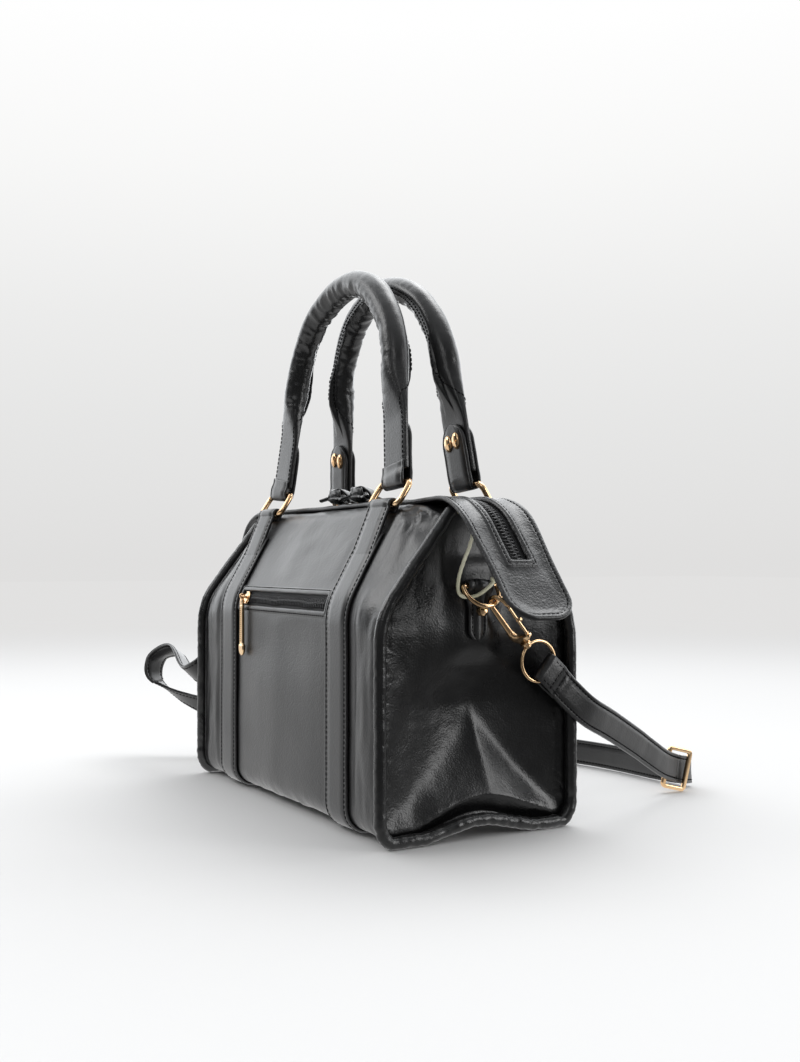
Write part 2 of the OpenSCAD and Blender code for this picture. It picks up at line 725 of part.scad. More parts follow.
module clasp_hook_right() turn_hook() clasp_hook();
module clasp_hook_left() rotate([0, 0, 180]) clasp_hook_right();
module clasp_gate_right() turn_hook() clasp_gate();
module clasp_gate_left() rotate([0, 0, 180]) clasp_gate_right();
module clasp_eye_right() place_clasp() rotate([0, 0, 90]) clasp_eye();
module clasp_eye_left() rotate([0, 0, 180]) clasp_eye_right();

// Strap end: the leather folded round the eye and stitched
fold_gap = eye_wire + 2 * gap;
fold_in = eye_r * 0.36;
fold_l = 18;
sling_turn = 8;

module place_fold() place_clasp() translate([0, 0, eye_at]) rotate([sling_turn, 0, 0]) children();

module strap_end() color(leather) {
    half_gap = fold_gap / 2;
    start = eye_r - fold_in;
    stitch = start + fold_l * 0.55;
    rotate([90, 0, 0]) translate([0, 0, -sling_w / 2]) linear_extrude(sling_w) difference() {
        polygon(concat(
            arc([start, 0], half_gap + sling_t, 270, 90, 8),
            [[stitch, half_gap + sling_t], [start + fold_l, sling_t],
                [start + fold_l, -sling_t], [stitch, -half_gap - sling_t]]));
        polygon(concat(arc([start, 0], half_gap, 270, 90, 8), [[stitch, half_gap], [stitch, -half_gap]]));
    }
}

module fold_frame() place_fold() rotate([0, -90, 0]) children();

module strap_end_right() fold_frame() strap_end();
module strap_end_left() rotate([0, 0, 180]) strap_end_right();

// Tag cord: threaded through the right end ring and knotted
cord_r = 1.2;
// Places measured from the bar of the right end ring
cord_route = [
    [-2, -14.2, 45], [0, -13.4, 45.9], [2.8, -11.2, 44.8], [5.3, -8.7, 41], [6, -8.2, 35],
    [5.3, -10.4, 25], [3.3, -13.2, 16], [1.3, -15.6, 6.5], [-0.4, -15.6, -1.5], [-0.7, -13, -6],
    [1.0, -8.2, -7],
    [3.7, -3, -5.4], [7.6, 0.8, -1.4], [9.8, 3.5, 2.2], [10.8, 6.6, 6], [11.6, 9.8, 10]
];
tag_sides = 8;

function curve(points, steps) = [
    for (i = [0:len(points) - 2])
        let (
            a = points[max(0, i - 1)],
            b = points[i],
            c = points[i + 1],
            d = points[min(len(points) - 1, i + 2)]
        )
        for (k = [0:steps - 1])
            let (t = k / steps, square = 2 * a - 5 * b + 4 * c - d, cube = 3 * b - a - 3 * c + d)
            0.5 * (2 * b + (c - a) * t + square * t * t + cube * t * t * t),
    points[len(points) - 1]
];
function tangents(path) = [for (i = [0:len(path) - 1])
    unit(path[min(len(path) - 1, i + 1)] - path[max(0, i - 1)])];

module tag_cord() color(cream) {
    path = curve([for (p = cord_route) [side_bar_x, 0, side_bar_z] + p], 4);
    dirs = tangents(path);
    skin([for (i = [0:len(path) - 1]) let (
        u = unit(cross(dirs[i], [1, 0.3, 0.2])), v = cross(dirs[i], u))
        [for (j = [0:tag_sides - 1])
            let (t = 360 * j / tag_sides) path[i] + cord_r * (cos(t) * u + sin(t) * v)]]);
}

// Shoulder strap: it stands on its edge behind the bag, as stations of place and breadth direction.
// Places are shares of half length, half depth and height, measured over the strap's half breadth.
function fold_point(run) = clasp_origin + eye_at * clasp_way
    + (eye_r - fold_in + run) * [0, sin(clasp_turn + sling_turn), -cos(clasp_turn + sling_turn)];
sling_shares = [
    [1.072, 1.16, 0.303, [0, 0.62, 0.78]],
    [1.00, 1.52, 0.254, [0, 0.42, 0.9]],
    [0.88, 2.10, 0.165, [0, 0.28, 0.96]],
    [0.775, 2.64, 0.075, [0, 0.16, 1]],
    [0.70, 2.985, 0.036, [0, 0.08, 1]],
    [0.66, 3.21, 0.02, [0, 0, 1]],
    [0.62, 3.33, 0.012, [0, 0, 1]],
    [0.57, 3.28, 0.006, [0, 0, 1]],
    [0.40, 3.24, 0.004, [0, 0, 1]],
    [0.10, 3.22, 0.004, [0, 0, 1]],
    [-0.20, 3.12, 0.004, [0, 0, 1]],
    [-0.60, 2.82, 0.004, [0, 0, 1]],
    [-0.98, 2.15, 0.01, [0, 0.05, 1]],
    [-1.27, 1.20, 0.04, [0.1, 0.1, 1]],
    [-1.42, 0.25, 0.10, [0.3, -0.1, 0.95]],
    [-1.60, -0.62, 0.17, [0.4, -0.5, 0.75]],
    [-1.80, -1.02, 0.26, [0.4, -0.8, 0.35]],
    [-1.78, -1.05, 0.36, [0.35, -0.85, 0.2]],
    [-1.54, -0.96, 0.40, [0.1, -0.75, 0.6]],
    [-1.24, -1.03, 0.33, [0, -0.72, 0.68]],
    [-1.11, -1.02, 0.338, [0, -0.69, 0.72]]
];
sling_steps = 4;

// The strap starts in line with its folded end
sling_starts = [for (share = [0, 0.2, 0.6]) fold_point(fold_l + gap + share * sling_w)];
function sling_places() = concat(
    sling_starts,
    [for (s = sling_shares) [s[0] * half_l, s[1] * half_d, sling_w / 2 + s[2] * body_h]],
    [for (p = flip(sling_starts)) [-p[0], -p[1], p[2]]]);
fold_breadth = [0, cos(clasp_turn + sling_turn), sin(clasp_turn + sling_turn)];
function sling_breadths() = concat(
    [for (p = sling_starts) fold_breadth],
    [for (s = sling_shares) s[3]],
    [for (p = sling_starts) [0, -fold_breadth[1], fold_breadth[2]]]);

module shoulder_strap() color(leather) {
    path = curve(sling_places(), sling_steps);
    wide = curve(sling_breadths(), sling_steps);
    dirs = tangents(path);
    skin([for (i = [0:len(path) - 1]) let (
        w = unit(wide[i] - (wide[i] * dirs[i]) * dirs[i]) * sling_w / 2,
        n = unit(cross(dirs[i], w)) * sling_t / 2)
        [path[i] + w + n, path[i] - w + n, path[i] - w - n, path[i] + w - n]]);
}

// Slide buckle at the fold of the strap: the strap passes in front of one bar and behind the
// other, so the frame stands at an angle to it, and it tilts with the strap's fall
buckle_wire = 3.2;
buckle_r = 3;
buckle_room = 5;
buckle_inner = sling_w + buckle_room;
buckle_l = 15;
buckle_skew = -28;
buckle_tilt = 14;
buckle_place = [0.70 * half_l, 2.985 * half_d];
buckle_way = [-0.098 * half_l, 0.565 * half_d];
buckle_rise = buckle_r + (buckle_inner / 2 + buckle_wire - buckle_r) * cos(buckle_tilt)
    + (buckle_l / 2 + buckle_wire - buckle_r) * sin(buckle_tilt);

module buckle_frame() {
    square([buckle_l + 2 * buckle_wire - 2 * buckle_r, buckle_inner + 2 * buckle_wire], center = true);
    square([buckle_l + 2 * buckle_wire, buckle_inner + 2 * buckle_wire - 2 * buckle_r], center = true);
    corner = [buckle_l / 2 + buckle_wire - buckle_r, buckle_inner / 2 + buckle_wire - buckle_r];
    for (x = [-1, 1]) for (y = [-1, 1]) translate([x * corner[0], y * corner[1]]) circle(r = buckle_r);
}

module strap_buckle() color(gold)
    translate([buckle_place[0], buckle_place[1], buckle_rise])
        rotate([0, 0, atan2(buckle_way[1], buckle_way[0]) + buckle_skew]) rotate([90, 0, 0])
            rotate([0, 0, -buckle_tilt]) linear_extrude(buckle_wire, center = true) difference() {
                buckle_frame();
                square([buckle_l, buckle_inner], center = true);
            }

// Pocket on the front: stitched lips, a closed zip and a bag inside
lip_t = 1.4;
// Seat of the lips on the leather
lip_seat = 0.1;

module pocket_lips() color(leather) difference() {
    along_x(strap_gap - body_strap_w) pocket_sector(pocket_lip_angle, shoulder_r + lip_seat, shoulder_r + lip_t);
    pocket_slot();
}

module pouch_shape(in, low) {
    front = -leather_t - lining_t - in;
    back = -leather_t - lining_t - pocket_deep + in;
    top = pocket_mid_angle + pocket_lip_angle - in / lining_t;
    polygon(mirrored(concat(
        [[half_d + front, low]], shoulder_arc(1, front, 0, top, 5),
        flip(shoulder_arc(1, back, 0, top, 5)), [[half_d + back, low]])));
}

module pocket_pouch() color(lining_colour) difference() {
    along_x(pocket_l + 2 * lining_t) pouch_shape(0, pocket_floor);
    along_x(pocket_l) pouch_shape(lining_t, pocket_floor + lining_t);
    along_x(pocket_l)
        pocket_sector(pocket_slot_angle, shoulder_r - leather_t - 3 * lining_t, shoulder_r + corner_r);
}

// Frame at the middle of the pocket zip: X along it, Z away from the bag
zip_face_r = shoulder_r - leather_t / 2;

module on_pocket() translate([0, -shoulder(1)[0], shoulder(1)[1]]) rotate([90 - pocket_mid_angle, 0, 0])
    translate([0, 0, zip_face_r]) children();

module pocket_zip() color(leather_dark) {
    along_x(pocket_l) pocket_sector(pocket_slot_angle, zip_face_r - tape_t, zip_face_r);
    count = floor(pocket_l / tooth_pitch) - 1;
    for (side = [0, 1]) on_pocket() mirror([0, side, 0])
        translate([-count * tooth_pitch / 2, 0, 0]) comb(count - 1, side * tooth_pitch / 2);
}

// Sliders: a cap with side flanges over the teeth and a bail on top
slider_l = 10;
slider_w = 9;
cap_t = 1.2;
bail_r = 0.8;
bail_half = 2.6;
// Height of the bail's bar over the zip's face
bail_rise = 3.6;
bail_z = tooth_h + cap_t + bail_rise;

module zip_slider() color(gold) {
    base = tooth_h + gap / 2;
    translate([0, 0, base]) linear_extrude(cap_t) polygon(concat(
        arc([slider_l / 2 - slider_w / 2, 0], slider_w / 2, -90, 90, 8),
        arc([-slider_l / 2 + slider_w / 3, 0], slider_w / 3, 90, 270, 6)));
    for (side = [-1, 1])
        translate([-slider_l / 4, side * (tooth_foot + gap + cap_t / 2) - cap_t / 2, gap])
            cube([slider_l / 2, cap_t, base + cap_t - gap]);
    for (side = [-1, 1]) translate([side * bail_half, 0, base + cap_t - bail_r / 2]) {
        cylinder(h = bail_z - base - cap_t + bail_r / 2, r = bail_r);
        translate([0, 0, bail_z - base - cap_t + bail_r / 2]) sphere(r = bail_r);
    }
    translate([0, 0, bail_z]) rotate([0, 90, 0]) cylinder(h = 2 * bail_half, r = bail_r, center = true);
}

pocket_slider_x = -pocket_l / 2 + slider_l;

module pocket_slider() on_pocket() translate([pocket_slider_x, 0, 0]) zip_slider();

// Pocket pull: a ring end, a slim ribbed shaft and a round tip
pull_w = 5;
pull_t = 1.8;
pull_eye = 2;

module pocket_pull() color(gold)
    on_pocket() translate([pocket_slider_x, 0, bail_z]) rotate([pocket_mid_angle, 0, 0]) {
        rotate([0, 90, 0]) difference() {
            cylinder(h = pull_t, r = pull_eye, center = true);
            cylinder(h = pull_t + cut, r = bail_r + bar_fit, center = true);
        }
        translate([0, -pull_eye + bar_fit, -pull_t / 2]) linear_extrude(pull_t) polygon(concat(
            [[pull_t / 2, 0], [-pull_t / 2, 0], [-pull_w / 2, -pull_l * 0.2]],
            arc([0, -pull_l + pull_w * 0.7], pull_w * 0.7, 180, 360, 10),
            [[pull_w / 2, -pull_l * 0.2]]));
    }

module main_slider() translate([0, 0, body_h]) zip_slider();
slider_mid = 0.03 * half_l;

module slider_right() translate([slider_mid + slider_gap / 2, 0, 0]) main_slider();
module slider_left() translate([slider_mid - slider_gap / 2, 0, 0]) mirror([1, 0, 0]) main_slider();

// Knotted leather pulls that lie towards the front
knot_r = 4.6;
knot_reach = 15;
lace_w = 5;
lace_t = 1.6;

module knot_pull() color(leather) {
    height = body_h + zip_panel_t + 1.2 * knot_r + gap;
    eye_z = body_h + bail_z;
    translate([0, 0, eye_z]) {
        rotate([0, 90, 0]) difference() {
            cylinder(h = lace_t, r = lace_w / 2, center = true);
            cylinder(h = lace_t + cut, r = bail_r + bar_fit, center = true);
        }
        rotate([-atan2(height - eye_z, knot_reach), 0, 0])
            translate([-lace_t, -knot_reach, -lace_t / 2])
                cube([2 * lace_t, knot_reach - lace_w / 2 + gap, lace_t]);
    }
    translate([0, -knot_reach, height]) {
        sphere(r = knot_r);
        rotate([60, 0, 35]) rotate_extrude() translate([knot_r * 0.8, 0]) circle(r = knot_r * 0.4);
        for (side = [-1, 1]) rotate([0, 8, side * 38 - 90])
            translate([knot_r * 0.5, -lace_w / 2, -lace_t / 2]) cube([knot_reach * 0.8, lace_w, lace_t]);
    }
}

module knot_right() translate([slider_mid + slider_gap / 2, 0, 0]) knot_pull();
module knot_left() translate([slider_mid - slider_gap / 2, 0, 0]) knot_pull();

front_panel();
back_panel();
base_panel();
base_board();
lining();
end_panel_right();
end_panel_left();
piping_right();
piping_left();
zip_panel();
zip_side_front();
zip_side_rear();
strap_right();
strap_left();
ring_loop_front_right();
ring_loop_front_left();
ring_loop_back_right();
ring_loop_back_left();
ring_front_right();
ring_front_left();
ring_back_right();
ring_back_left();
grip_front();
grip_back();
tab_front_right();
tab_front_left();
tab_back_right();
tab_back_left();
studs_front();
studs_back();
side_tab_right();
side_tab_left();
side_stud_right();
side_stud_left();
d_ring_right();
d_ring_left();
clasp_eye_right();
clasp_eye_left();
clasp_hook_right();
clasp_hook_left();
clasp_gate_right();
clasp_gate_left();
strap_end_right();
strap_end_left();
shoulder_strap();
strap_buckle();
pocket_lips();
pocket_pouch();
pocket_zip();
pocket_slider();
pocket_pull();
slider_right();
slider_left();
knot_right();
knot_left();
tag_cord();
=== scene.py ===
import math
import bmesh
import bpy
import numpy as np
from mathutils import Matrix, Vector, noise


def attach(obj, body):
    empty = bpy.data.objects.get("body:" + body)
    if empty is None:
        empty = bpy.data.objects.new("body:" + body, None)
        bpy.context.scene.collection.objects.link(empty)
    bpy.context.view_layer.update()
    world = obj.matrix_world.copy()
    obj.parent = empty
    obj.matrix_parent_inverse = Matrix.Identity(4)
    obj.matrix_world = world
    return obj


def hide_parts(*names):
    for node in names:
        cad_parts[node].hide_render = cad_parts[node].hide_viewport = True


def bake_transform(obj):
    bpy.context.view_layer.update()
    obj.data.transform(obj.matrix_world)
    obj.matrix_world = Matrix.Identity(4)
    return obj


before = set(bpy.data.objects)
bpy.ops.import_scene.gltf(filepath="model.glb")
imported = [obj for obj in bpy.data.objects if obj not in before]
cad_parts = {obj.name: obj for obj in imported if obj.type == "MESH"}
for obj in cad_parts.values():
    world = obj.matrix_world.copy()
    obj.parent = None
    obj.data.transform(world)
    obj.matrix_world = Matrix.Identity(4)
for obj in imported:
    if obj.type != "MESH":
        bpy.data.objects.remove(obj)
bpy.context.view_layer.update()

# Camera
# The photograph was taken from beyond the right end of the bag, low and close,
# looking along the front towards the left end.
camera_data = bpy.data.cameras.new("camera")
camera_data.lens = 39.63
camera_data.sensor_width = 36
camera_data.clip_start = 0.01
camera = bpy.data.objects.new("camera", camera_data)
camera.location = (0.7483, -0.4051, 0.1703)
camera.rotation_euler = (math.radians(90 + 1.46), 0, math.radians(59.93))
bpy.context.scene.collection.objects.link(camera)
bpy.context.scene.camera = camera
bpy.context.scene.view_settings.view_transform = "Standard"

# Floor and backdrop
# A seamless pale paper sweep: the floor keeps the bag's shadow and fades into the same
# white as the wall behind it.
paper = (0.64, 0.635, 0.63, 1)


def new_material(name):
    material = bpy.data.materials.new(name)
    material.use_nodes = True
    material.node_tree.nodes.clear()
    return material, material.node_tree.nodes, material.node_tree.links


def node(nodes, kind, values=(), **settings):
    """A shader node with its settings, and values for its inputs by their names."""
    made = nodes.new("ShaderNode" + kind)
    for key, value in settings.items():
        setattr(made, key, value)
    for socket, value in dict(values).items():
        made.inputs[socket].default_value = value
    return made


def ramp(nodes, *stops):
    """A run of colours through stops of (position, colour)."""
    made = nodes.new("ShaderNodeValToRGB")
    elements = made.color_ramp.elements
    for at, colour in stops[1:-1]:
        elements.new(at).color = colour
    for k in (0, -1):
        elements[k].position, elements[k].color = stops[k]
    return made


def wire(links, *ends):
    """Joins sockets, each named as (giver, its output, taker, its input)."""
    for giver, output, taker, socket in ends:
        links.new(giver.outputs[output], taker.inputs[socket])


def surface(name, values):
    """A material of one principled shader, with its nodes and links."""
    material, nodes, links = new_material(name)
    shader = node(nodes, "BsdfPrincipled", values)
    wire(links, (shader, 0, node(nodes, "OutputMaterial"), "Surface"))
    return material, nodes, links, shader


floor_mesh = bpy.data.meshes.new("floor")
floor_mesh.from_pydata([(-9, -9, 0), (9, -9, 0), (9, 9, 0), (-9, 9, 0)], [], [(0, 1, 2, 3)])
floor = bpy.data.objects.new("floor", floor_mesh)
bpy.context.scene.collection.objects.link(floor)
paper_floor, nodes, links = new_material("paper_floor")
shader = node(nodes, "BsdfPrincipled", {"Base Color": paper, "Roughness": 0.8, "Specular IOR Level": 0.0})
glow = node(nodes, "Emission", {"Color": (0.76, 0.755, 0.75, 1)})
place = node(nodes, "TexCoord")
length = node(nodes, "VectorMath", operation="LENGTH")
fade = node(nodes, "MapRange", {"From Min": 0.8, "From Max": 2.5}, interpolation_type="SMOOTHSTEP")
blend_shader = node(nodes, "MixShader")
# In glossy rays the floor is an emission instead: a painted reflection of a lit room, bright towards the
# left and dim towards and beyond the bag's right end, a painted shade there.
lit_side = node(nodes, "VectorMath", {1: (-0.9, 0.1, 0)}, operation="DOT_PRODUCT")
lit = node(nodes, "MapRange", {"From Min": -0.26, "From Max": -0.04, "To Min": 0.12, "To Max": 0.95},
           interpolation_type="SMOOTHSTEP")
painted_reflection_glow = node(nodes, "Emission")
rays = node(nodes, "LightPath")
by_ray = node(nodes, "MixShader")
out = node(nodes, "OutputMaterial")
wire(links, (place, "Object", lit_side, 0), (lit_side, "Value", lit, "Value"),
     (lit, "Result", painted_reflection_glow, "Strength"), (rays, "Is Glossy Ray", by_ray, 0),
     (painted_reflection_glow, 0, by_ray, 2), (place, "Object", length, 0), (length, "Value", fade, "Value"),
     (fade, "Result", blend_shader, 0), (shader, 0, blend_shader, 1), (glow, 0, blend_shader, 2),
     (blend_shader, 0, by_ray, 1), (by_ray, 0, out, "Surface"))
floor_mesh.materials.append(paper_floor)

world = bpy.data.worlds.new("studio")
bpy.context.scene.world = world
world.use_nodes = True
nodes, links = world.node_tree.nodes, world.node_tree.links
nodes.clear()
direction = node(nodes, "TexCoord")
toward_wall = node(nodes, "VectorMath", {1: (-0.82, 0.57, 0.10)}, operation="DOT_PRODUCT")
wall = node(nodes, "MapRange", {"From Min": 0.10, "From Max": 0.58, "To Min": 0.16, "To Max": 2.3},
            interpolation_type="SMOOTHSTEP")
height = node(nodes, "SeparateXYZ")
ceiling = node(nodes, "MapRange", {"From Min": 0.45, "To Max": 0.6}, interpolation_type="SMOOTHSTEP")
room = node(nodes, "Math", operation="ADD")
# The wall seen by the camera is greyer low down and white higher up: painted shade on the backdrop.
greys = []
for rise, shade in ((0.12, 0.795), (0.2, 0.84), (0.32, 0.94)):
    greys.append((rise, (shade, shade, shade * 0.995, 1)))
sweep = ramp(nodes, (0, (0.745, 0.74, 0.735, 1)), *greys, (0.42, (1, 1, 1, 1)))
backdrop = node(nodes, "Background")
studio = node(nodes, "Background", {"Color": (0.96, 0.98, 1.0, 1)})
rays = node(nodes, "LightPath")
seen = node(nodes, "MixShader")
out = node(nodes, "OutputWorld")
wire(links, (direction, "Generated", toward_wall, 0), (direction, "Generated", height, 0),
     (toward_wall, "Value", wall, "Value"), (height, "Z", ceiling, "Value"),
     (height, "Z", sweep, "Fac"), (wall, "Result", room, 0), (ceiling, "Result", room, 1),
     (room, 0, studio, "Strength"), (sweep, "Color", backdrop, "Color"),
     (rays, "Is Camera Ray", seen, 0), (studio, 0, seen, 1), (backdrop, 0, seen, 2),
     (seen, 0, out, "Surface"))


# Lamps
# A broad soft box high on the left of the front, one overhead, a tall one that stands
# behind the right end and draws the light along its folds, and a small one at the camera.
def soft_box(name, place, aim, size, watts, spread=180):
    lamp = bpy.data.lights.new(name, "AREA")
    lamp.shape = "RECTANGLE"
    lamp.size, lamp.size_y = size
    lamp.energy = watts
    lamp.spread = math.radians(spread)
    box = bpy.data.objects.new(name, lamp)
    box.location = place
    box.rotation_euler = (Vector(aim) - Vector(place)).to_track_quat("-Z", "Y").to_euler()
    bpy.context.scene.collection.objects.link(box)


soft_box("front_box", (-0.7, -1.3, 1.35), (0, 0, 0.15), (1.1, 0.8), 12)
soft_box("end_box", (0.99, 0.77, 0.39), (0.14, 0, 0.12), (0.45, 0.75), 0.8, 70)
soft_box("fill_box", (1.0, -1.05, 1.0), (0, 0, 0.15), (0.5, 0.5), 1.6)
soft_box("top_box", (-0.25, 0.75, 1.6), (0, 0, 0.2), (1.2, 0.7), 9)


# Tag cord
# A thin cream cord of twisted cotton, threaded through the right end ring: it comes out
# from under the zip's tongue, passes behind the ring's wire and ends in a knot.
cord_d = 2.4
side_bar = np.array((146.7, 0, 155))
cord_route = np.array([(-2, -14.2, 45), (0, -13.4, 45.9), (2.8, -11.2, 44.8), (5.3, -8.7, 41),
                       (6, -8.2, 35), (5.3, -10.4, 25), (3.3, -13.2, 16), (1.3, -15.6, 6.5),
                       (-0.4, -15.6, -1.5), (-0.7, -13, -6), (1.0, -8.2, -7), (3.7, -3, -5.4),
                       (7.6, 0.8, -1.4), (9.8, 3.5, 2.2), (10.8, 6.6, 6), (11.6, 9.8, 10)])


def unit(vectors):
    """Directions of length one."""
    return vectors / np.maximum(np.linalg.norm(vectors, axis=-1, keepdims=True), 1e-9)


def smooth(share):
    """From 0 to 1 with soft ends, outside that range held."""
    share = np.clip(share, 0, 1)
    return share * share * (3 - 2 * share)


def curve_through(points, steps):
    """A smooth curve through places, with so many steps from each to the next."""
    points = np.asarray(points, float)
    ends = np.vstack([points[:1], points, points[-1:]])
    t = np.arange(steps)[:, None] / steps
    parts = []
    for a, b, c, d in zip(ends[:-3], ends[1:-2], ends[2:-1], ends[3:]):
        square, cube = 2 * a - 5 * b + 4 * c - d, 3 * b - a - 3 * c + d
        parts.append(0.5 * (2 * b + (c - a) * t + square * t * t + cube * t ** 3))
    return np.vstack(parts + [points[-1:]])


def run_along(path):
    """The distance along a path at each of its places."""
    return np.r_[0, np.cumsum(np.linalg.norm(np.diff(path, axis=0), axis=1))]


def frames_along(path, wide):
    """Along, across and outward directions at each place of a path."""
    along = unit(np.gradient(path, axis=0))
    across = unit(wide - (wide * along).sum(1, keepdims=True) * along)
    return along, across, np.cross(along, across)


def steady_across(path, first=(0.3, 0.2, 1)):
    """Directions across a path that turn with it and never twist."""
    along = unit(np.gradient(path, axis=0))
    across = [unit(np.cross(along[0], first))]
    for direction in along[1:]:
        last = across[-1]
        across.append(unit(last - last.dot(direction) * direction))
    return np.array(across)


def grid_faces(rows, cols, round_cols=False, first=0):
    """Faces of a grid of points, whose columns may close round."""
    i, j = np.meshgrid(np.arange(rows - 1), np.arange(cols if round_cols else cols - 1), indexing="ij")
    k = (j + 1) % cols
    quads = np.stack([i * cols + j, i * cols + k, (i + 1) * cols + k, (i + 1) * cols + j], -1) + first
    return quads.reshape(-1, 4).tolist()


def new_piece(name, points, faces, material, body=None, nodes=()):
    """A mesh drawn in mm, with its body and the CAD nodes it stands for."""
    mesh = bpy.data.meshes.new(name)
    mesh.from_pydata((np.asarray(points).reshape(-1, 3) * 0.001).tolist(), [], faces)
    shape = bmesh.new()
    shape.from_mesh(mesh)
    if all(edge.is_manifold for edge in shape.edges):
        bmesh.ops.recalc_face_normals(shape, faces=shape.faces)
    shape.to_mesh(mesh)
    shape.free()
    mesh.materials.append(material)
    mesh.shade_smooth()
    piece = bpy.data.objects.new(name, mesh)
    bpy.context.scene.collection.objects.link(piece)
    if body:
        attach(piece, body)
    if nodes:
        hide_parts(*nodes)
    return piece


def circles(turns, u, v):
    """Circles of unit radius in the plane of u and v at each place of a path."""
    return np.cos(turns)[None, :, None] * u[:, None] + np.sin(turns)[None, :, None] * v[:, None]


def tube_points(path, radius, sides, across=None):
    """A round tube along a path."""
    path = np.asarray(path, float)
    along, u, v = frames_along(path, steady_across(path) if across is None else across)
    radius = np.broadcast_to(radius, (len(path),))[:, None, None]
    return path[:, None] + radius * circles(np.arange(sides) * 2 * np.pi / sides, u, v)


def tube_faces(rows, sides, first=0):
    """Faces of a tube of rings, closed at both ends."""
    ends = [[first + j for j in range(sides)][::-1], [first + (rows - 1) * sides + j for j in range(sides)]]
    return grid_faces(rows, sides, True, first) + ends


cord_path = curve_through(side_bar + cord_route, 10)
cord_along, cord_u, cord_v = frames_along(cord_path, steady_across(cord_path))
cord_run = run_along(cord_path)
turn = np.arange(14) * 2 * np.pi / 14
strands = 1 + 0.07 * np.cos(3 * (turn[None] + cord_run[:, None] * 1.6))
cord_round = (cord_d / 2 - 0.05) * strands[..., None] * circles(turn, cord_u, cord_v)
cord_points = cord_path[:, None] + cord_round

cord_cotton, nodes, links, shader = surface("cord_cotton", {"Roughness": 0.8})
place = node(nodes, "TexCoord")
fibres = node(nodes, "TexNoise", {"Scale": 900, "Detail": 4})
stain = node(nodes, "TexNoise", {"Scale": 45})
cream = ramp(nodes, (0.35, (0.47, 0.46, 0.33, 1)), (0.68, (0.74, 0.72, 0.56, 1)))
relief = node(nodes, "Bump", {"Strength": 0.5, "Distance": 0.0002})
wire(links, (place, "Object", fibres, "Vector"), (place, "Object", stain, "Vector"),
     (stain, "Fac", cream, "Fac"), (cream, "Color", shader, "Base Color"),
     (fibres, "Fac", relief, "Height"), (relief, "Normal", shader, "Normal"))

tag_cord = new_piece("tag_cord_length", cord_points, tube_faces(len(cord_path), 14), cord_cotton,
                     "bag", ["tag_cord"])

# The knot that stops the cord in front of the ring, pulled tight: one turn over itself
knot_at = side_bar + (10.2, 4.9, 4.0)
knot_way = unit(np.array((1.6, 6, 7.4)))
knot_u = unit(np.cross(knot_way, (0, 0, 1)))
knot_v = np.cross(knot_way, knot_u)
t = np.linspace(0, 2 * np.pi, 60)
knot_path = (knot_at + np.outer(np.cos(t) * 1.75, knot_u) + np.outer(np.sin(t) * 1.75, knot_v)
             + np.outer(np.sin(t) * 1.1, knot_way))
cord_knot = new_piece("tag_cord_knot", tube_points(knot_path, 1.15, 12), tube_faces(60, 12), cord_cotton,
                      "bag")


# Black leather
# The bag is cut from thin black coated leather with a fine pebble grain, glossier where
# it is stretched and duller where it creases.
def new_group(name, inputs, outputs):
    """A node group with its inputs as (name, value) and its outputs by name."""
    group = bpy.data.node_groups.new(name, "ShaderNodeTree")
    for label, value in inputs:
        socket = group.interface.new_socket(label, in_out="INPUT", socket_type="NodeSocketFloat")
        socket.default_value = value
    for label in outputs:
        group.interface.new_socket(label, in_out="OUTPUT", socket_type="NodeSocketFloat")
    return group, group.nodes.new("NodeGroupInput"), group.nodes.new("NodeGroupOutput")


grain_group, given, result = new_group(
    "leather_grain", [("Pebble Scale", 850), ("Crease Scale", 95)], ["Height", "Tone", "Crease"])
nodes, links = grain_group.nodes, grain_group.links
place = node(nodes, "TexCoord")
pebble = node(nodes, "TexVoronoi", {"Smoothness": 0.35}, feature="SMOOTH_F1")
warp = node(nodes, "TexNoise", {"Detail": 3})
tone = node(nodes, "TexNoise", {"Scale": 16, "Detail": 3})
crease = node(nodes, "TexVoronoi", feature="DISTANCE_TO_EDGE")
stretch = node(nodes, "VectorMath", {1: (0.012, 0.012, 0.012)}, operation="MULTIPLY_ADD")
crease_line = node(nodes, "MapRange", {"From Max": 0.09}, interpolation_type="SMOOTHSTEP")
sum_up = node(nodes, "Math", {1: 0.35}, operation="MULTIPLY_ADD")
wire(links, (place, "Object", pebble, "Vector"), (given, "Pebble Scale", pebble, "Scale"),
     (place, "Object", warp, "Vector"), (given, "Crease Scale", warp, "Scale"),
     (place, "Object", tone, "Vector"), (warp, "Color", stretch, 0), (place, "Object", stretch, 2),
     (stretch, "Vector", crease, "Vector"), (given, "Crease Scale", crease, "Scale"),
     (crease, "Distance", crease_line, "Value"), (crease_line, "Result", sum_up, 0),
     (pebble, "Distance", sum_up, 2), (sum_up, 0, result, "Height"), (tone, "Fac", result, "Tone"),
     (crease_line, "Result", result, "Crease"))


def leather(name, shade, gloss, pebble_scale=850, depth=0.35, coat=0.12):
    """Coated leather: how dark, how dull, grain size and depth, and its clear coat."""
    material, nodes, links, shader = surface(name, {"Coat Weight": coat, "Coat Roughness": 0.22})
    grain = node(nodes, "Group", {"Pebble Scale": pebble_scale}, node_tree=grain_group)
    colour = ramp(nodes, (0.3, (shade * 0.7, shade * 0.7, shade * 0.72, 1)),
                  (0.75, (shade * 1.3, shade * 1.3, shade * 1.38, 1)))
    rough = node(nodes, "MapRange", {"From Min": 0.3, "From Max": 0.7, "To Min": gloss - 0.07,
                                     "To Max": gloss + 0.07})
    relief = node(nodes, "Bump", {"Strength": depth, "Distance": 0.00025})
    wire(links, (grain, "Tone", colour, "Fac"), (colour, "Color", shader, "Base Color"),
         (grain, "Tone", rough, "Value"), (rough, "Result", shader, "Roughness"),
         (grain, "Height", relief, "Height"), (relief, "Normal", shader, "Normal"))
    return material


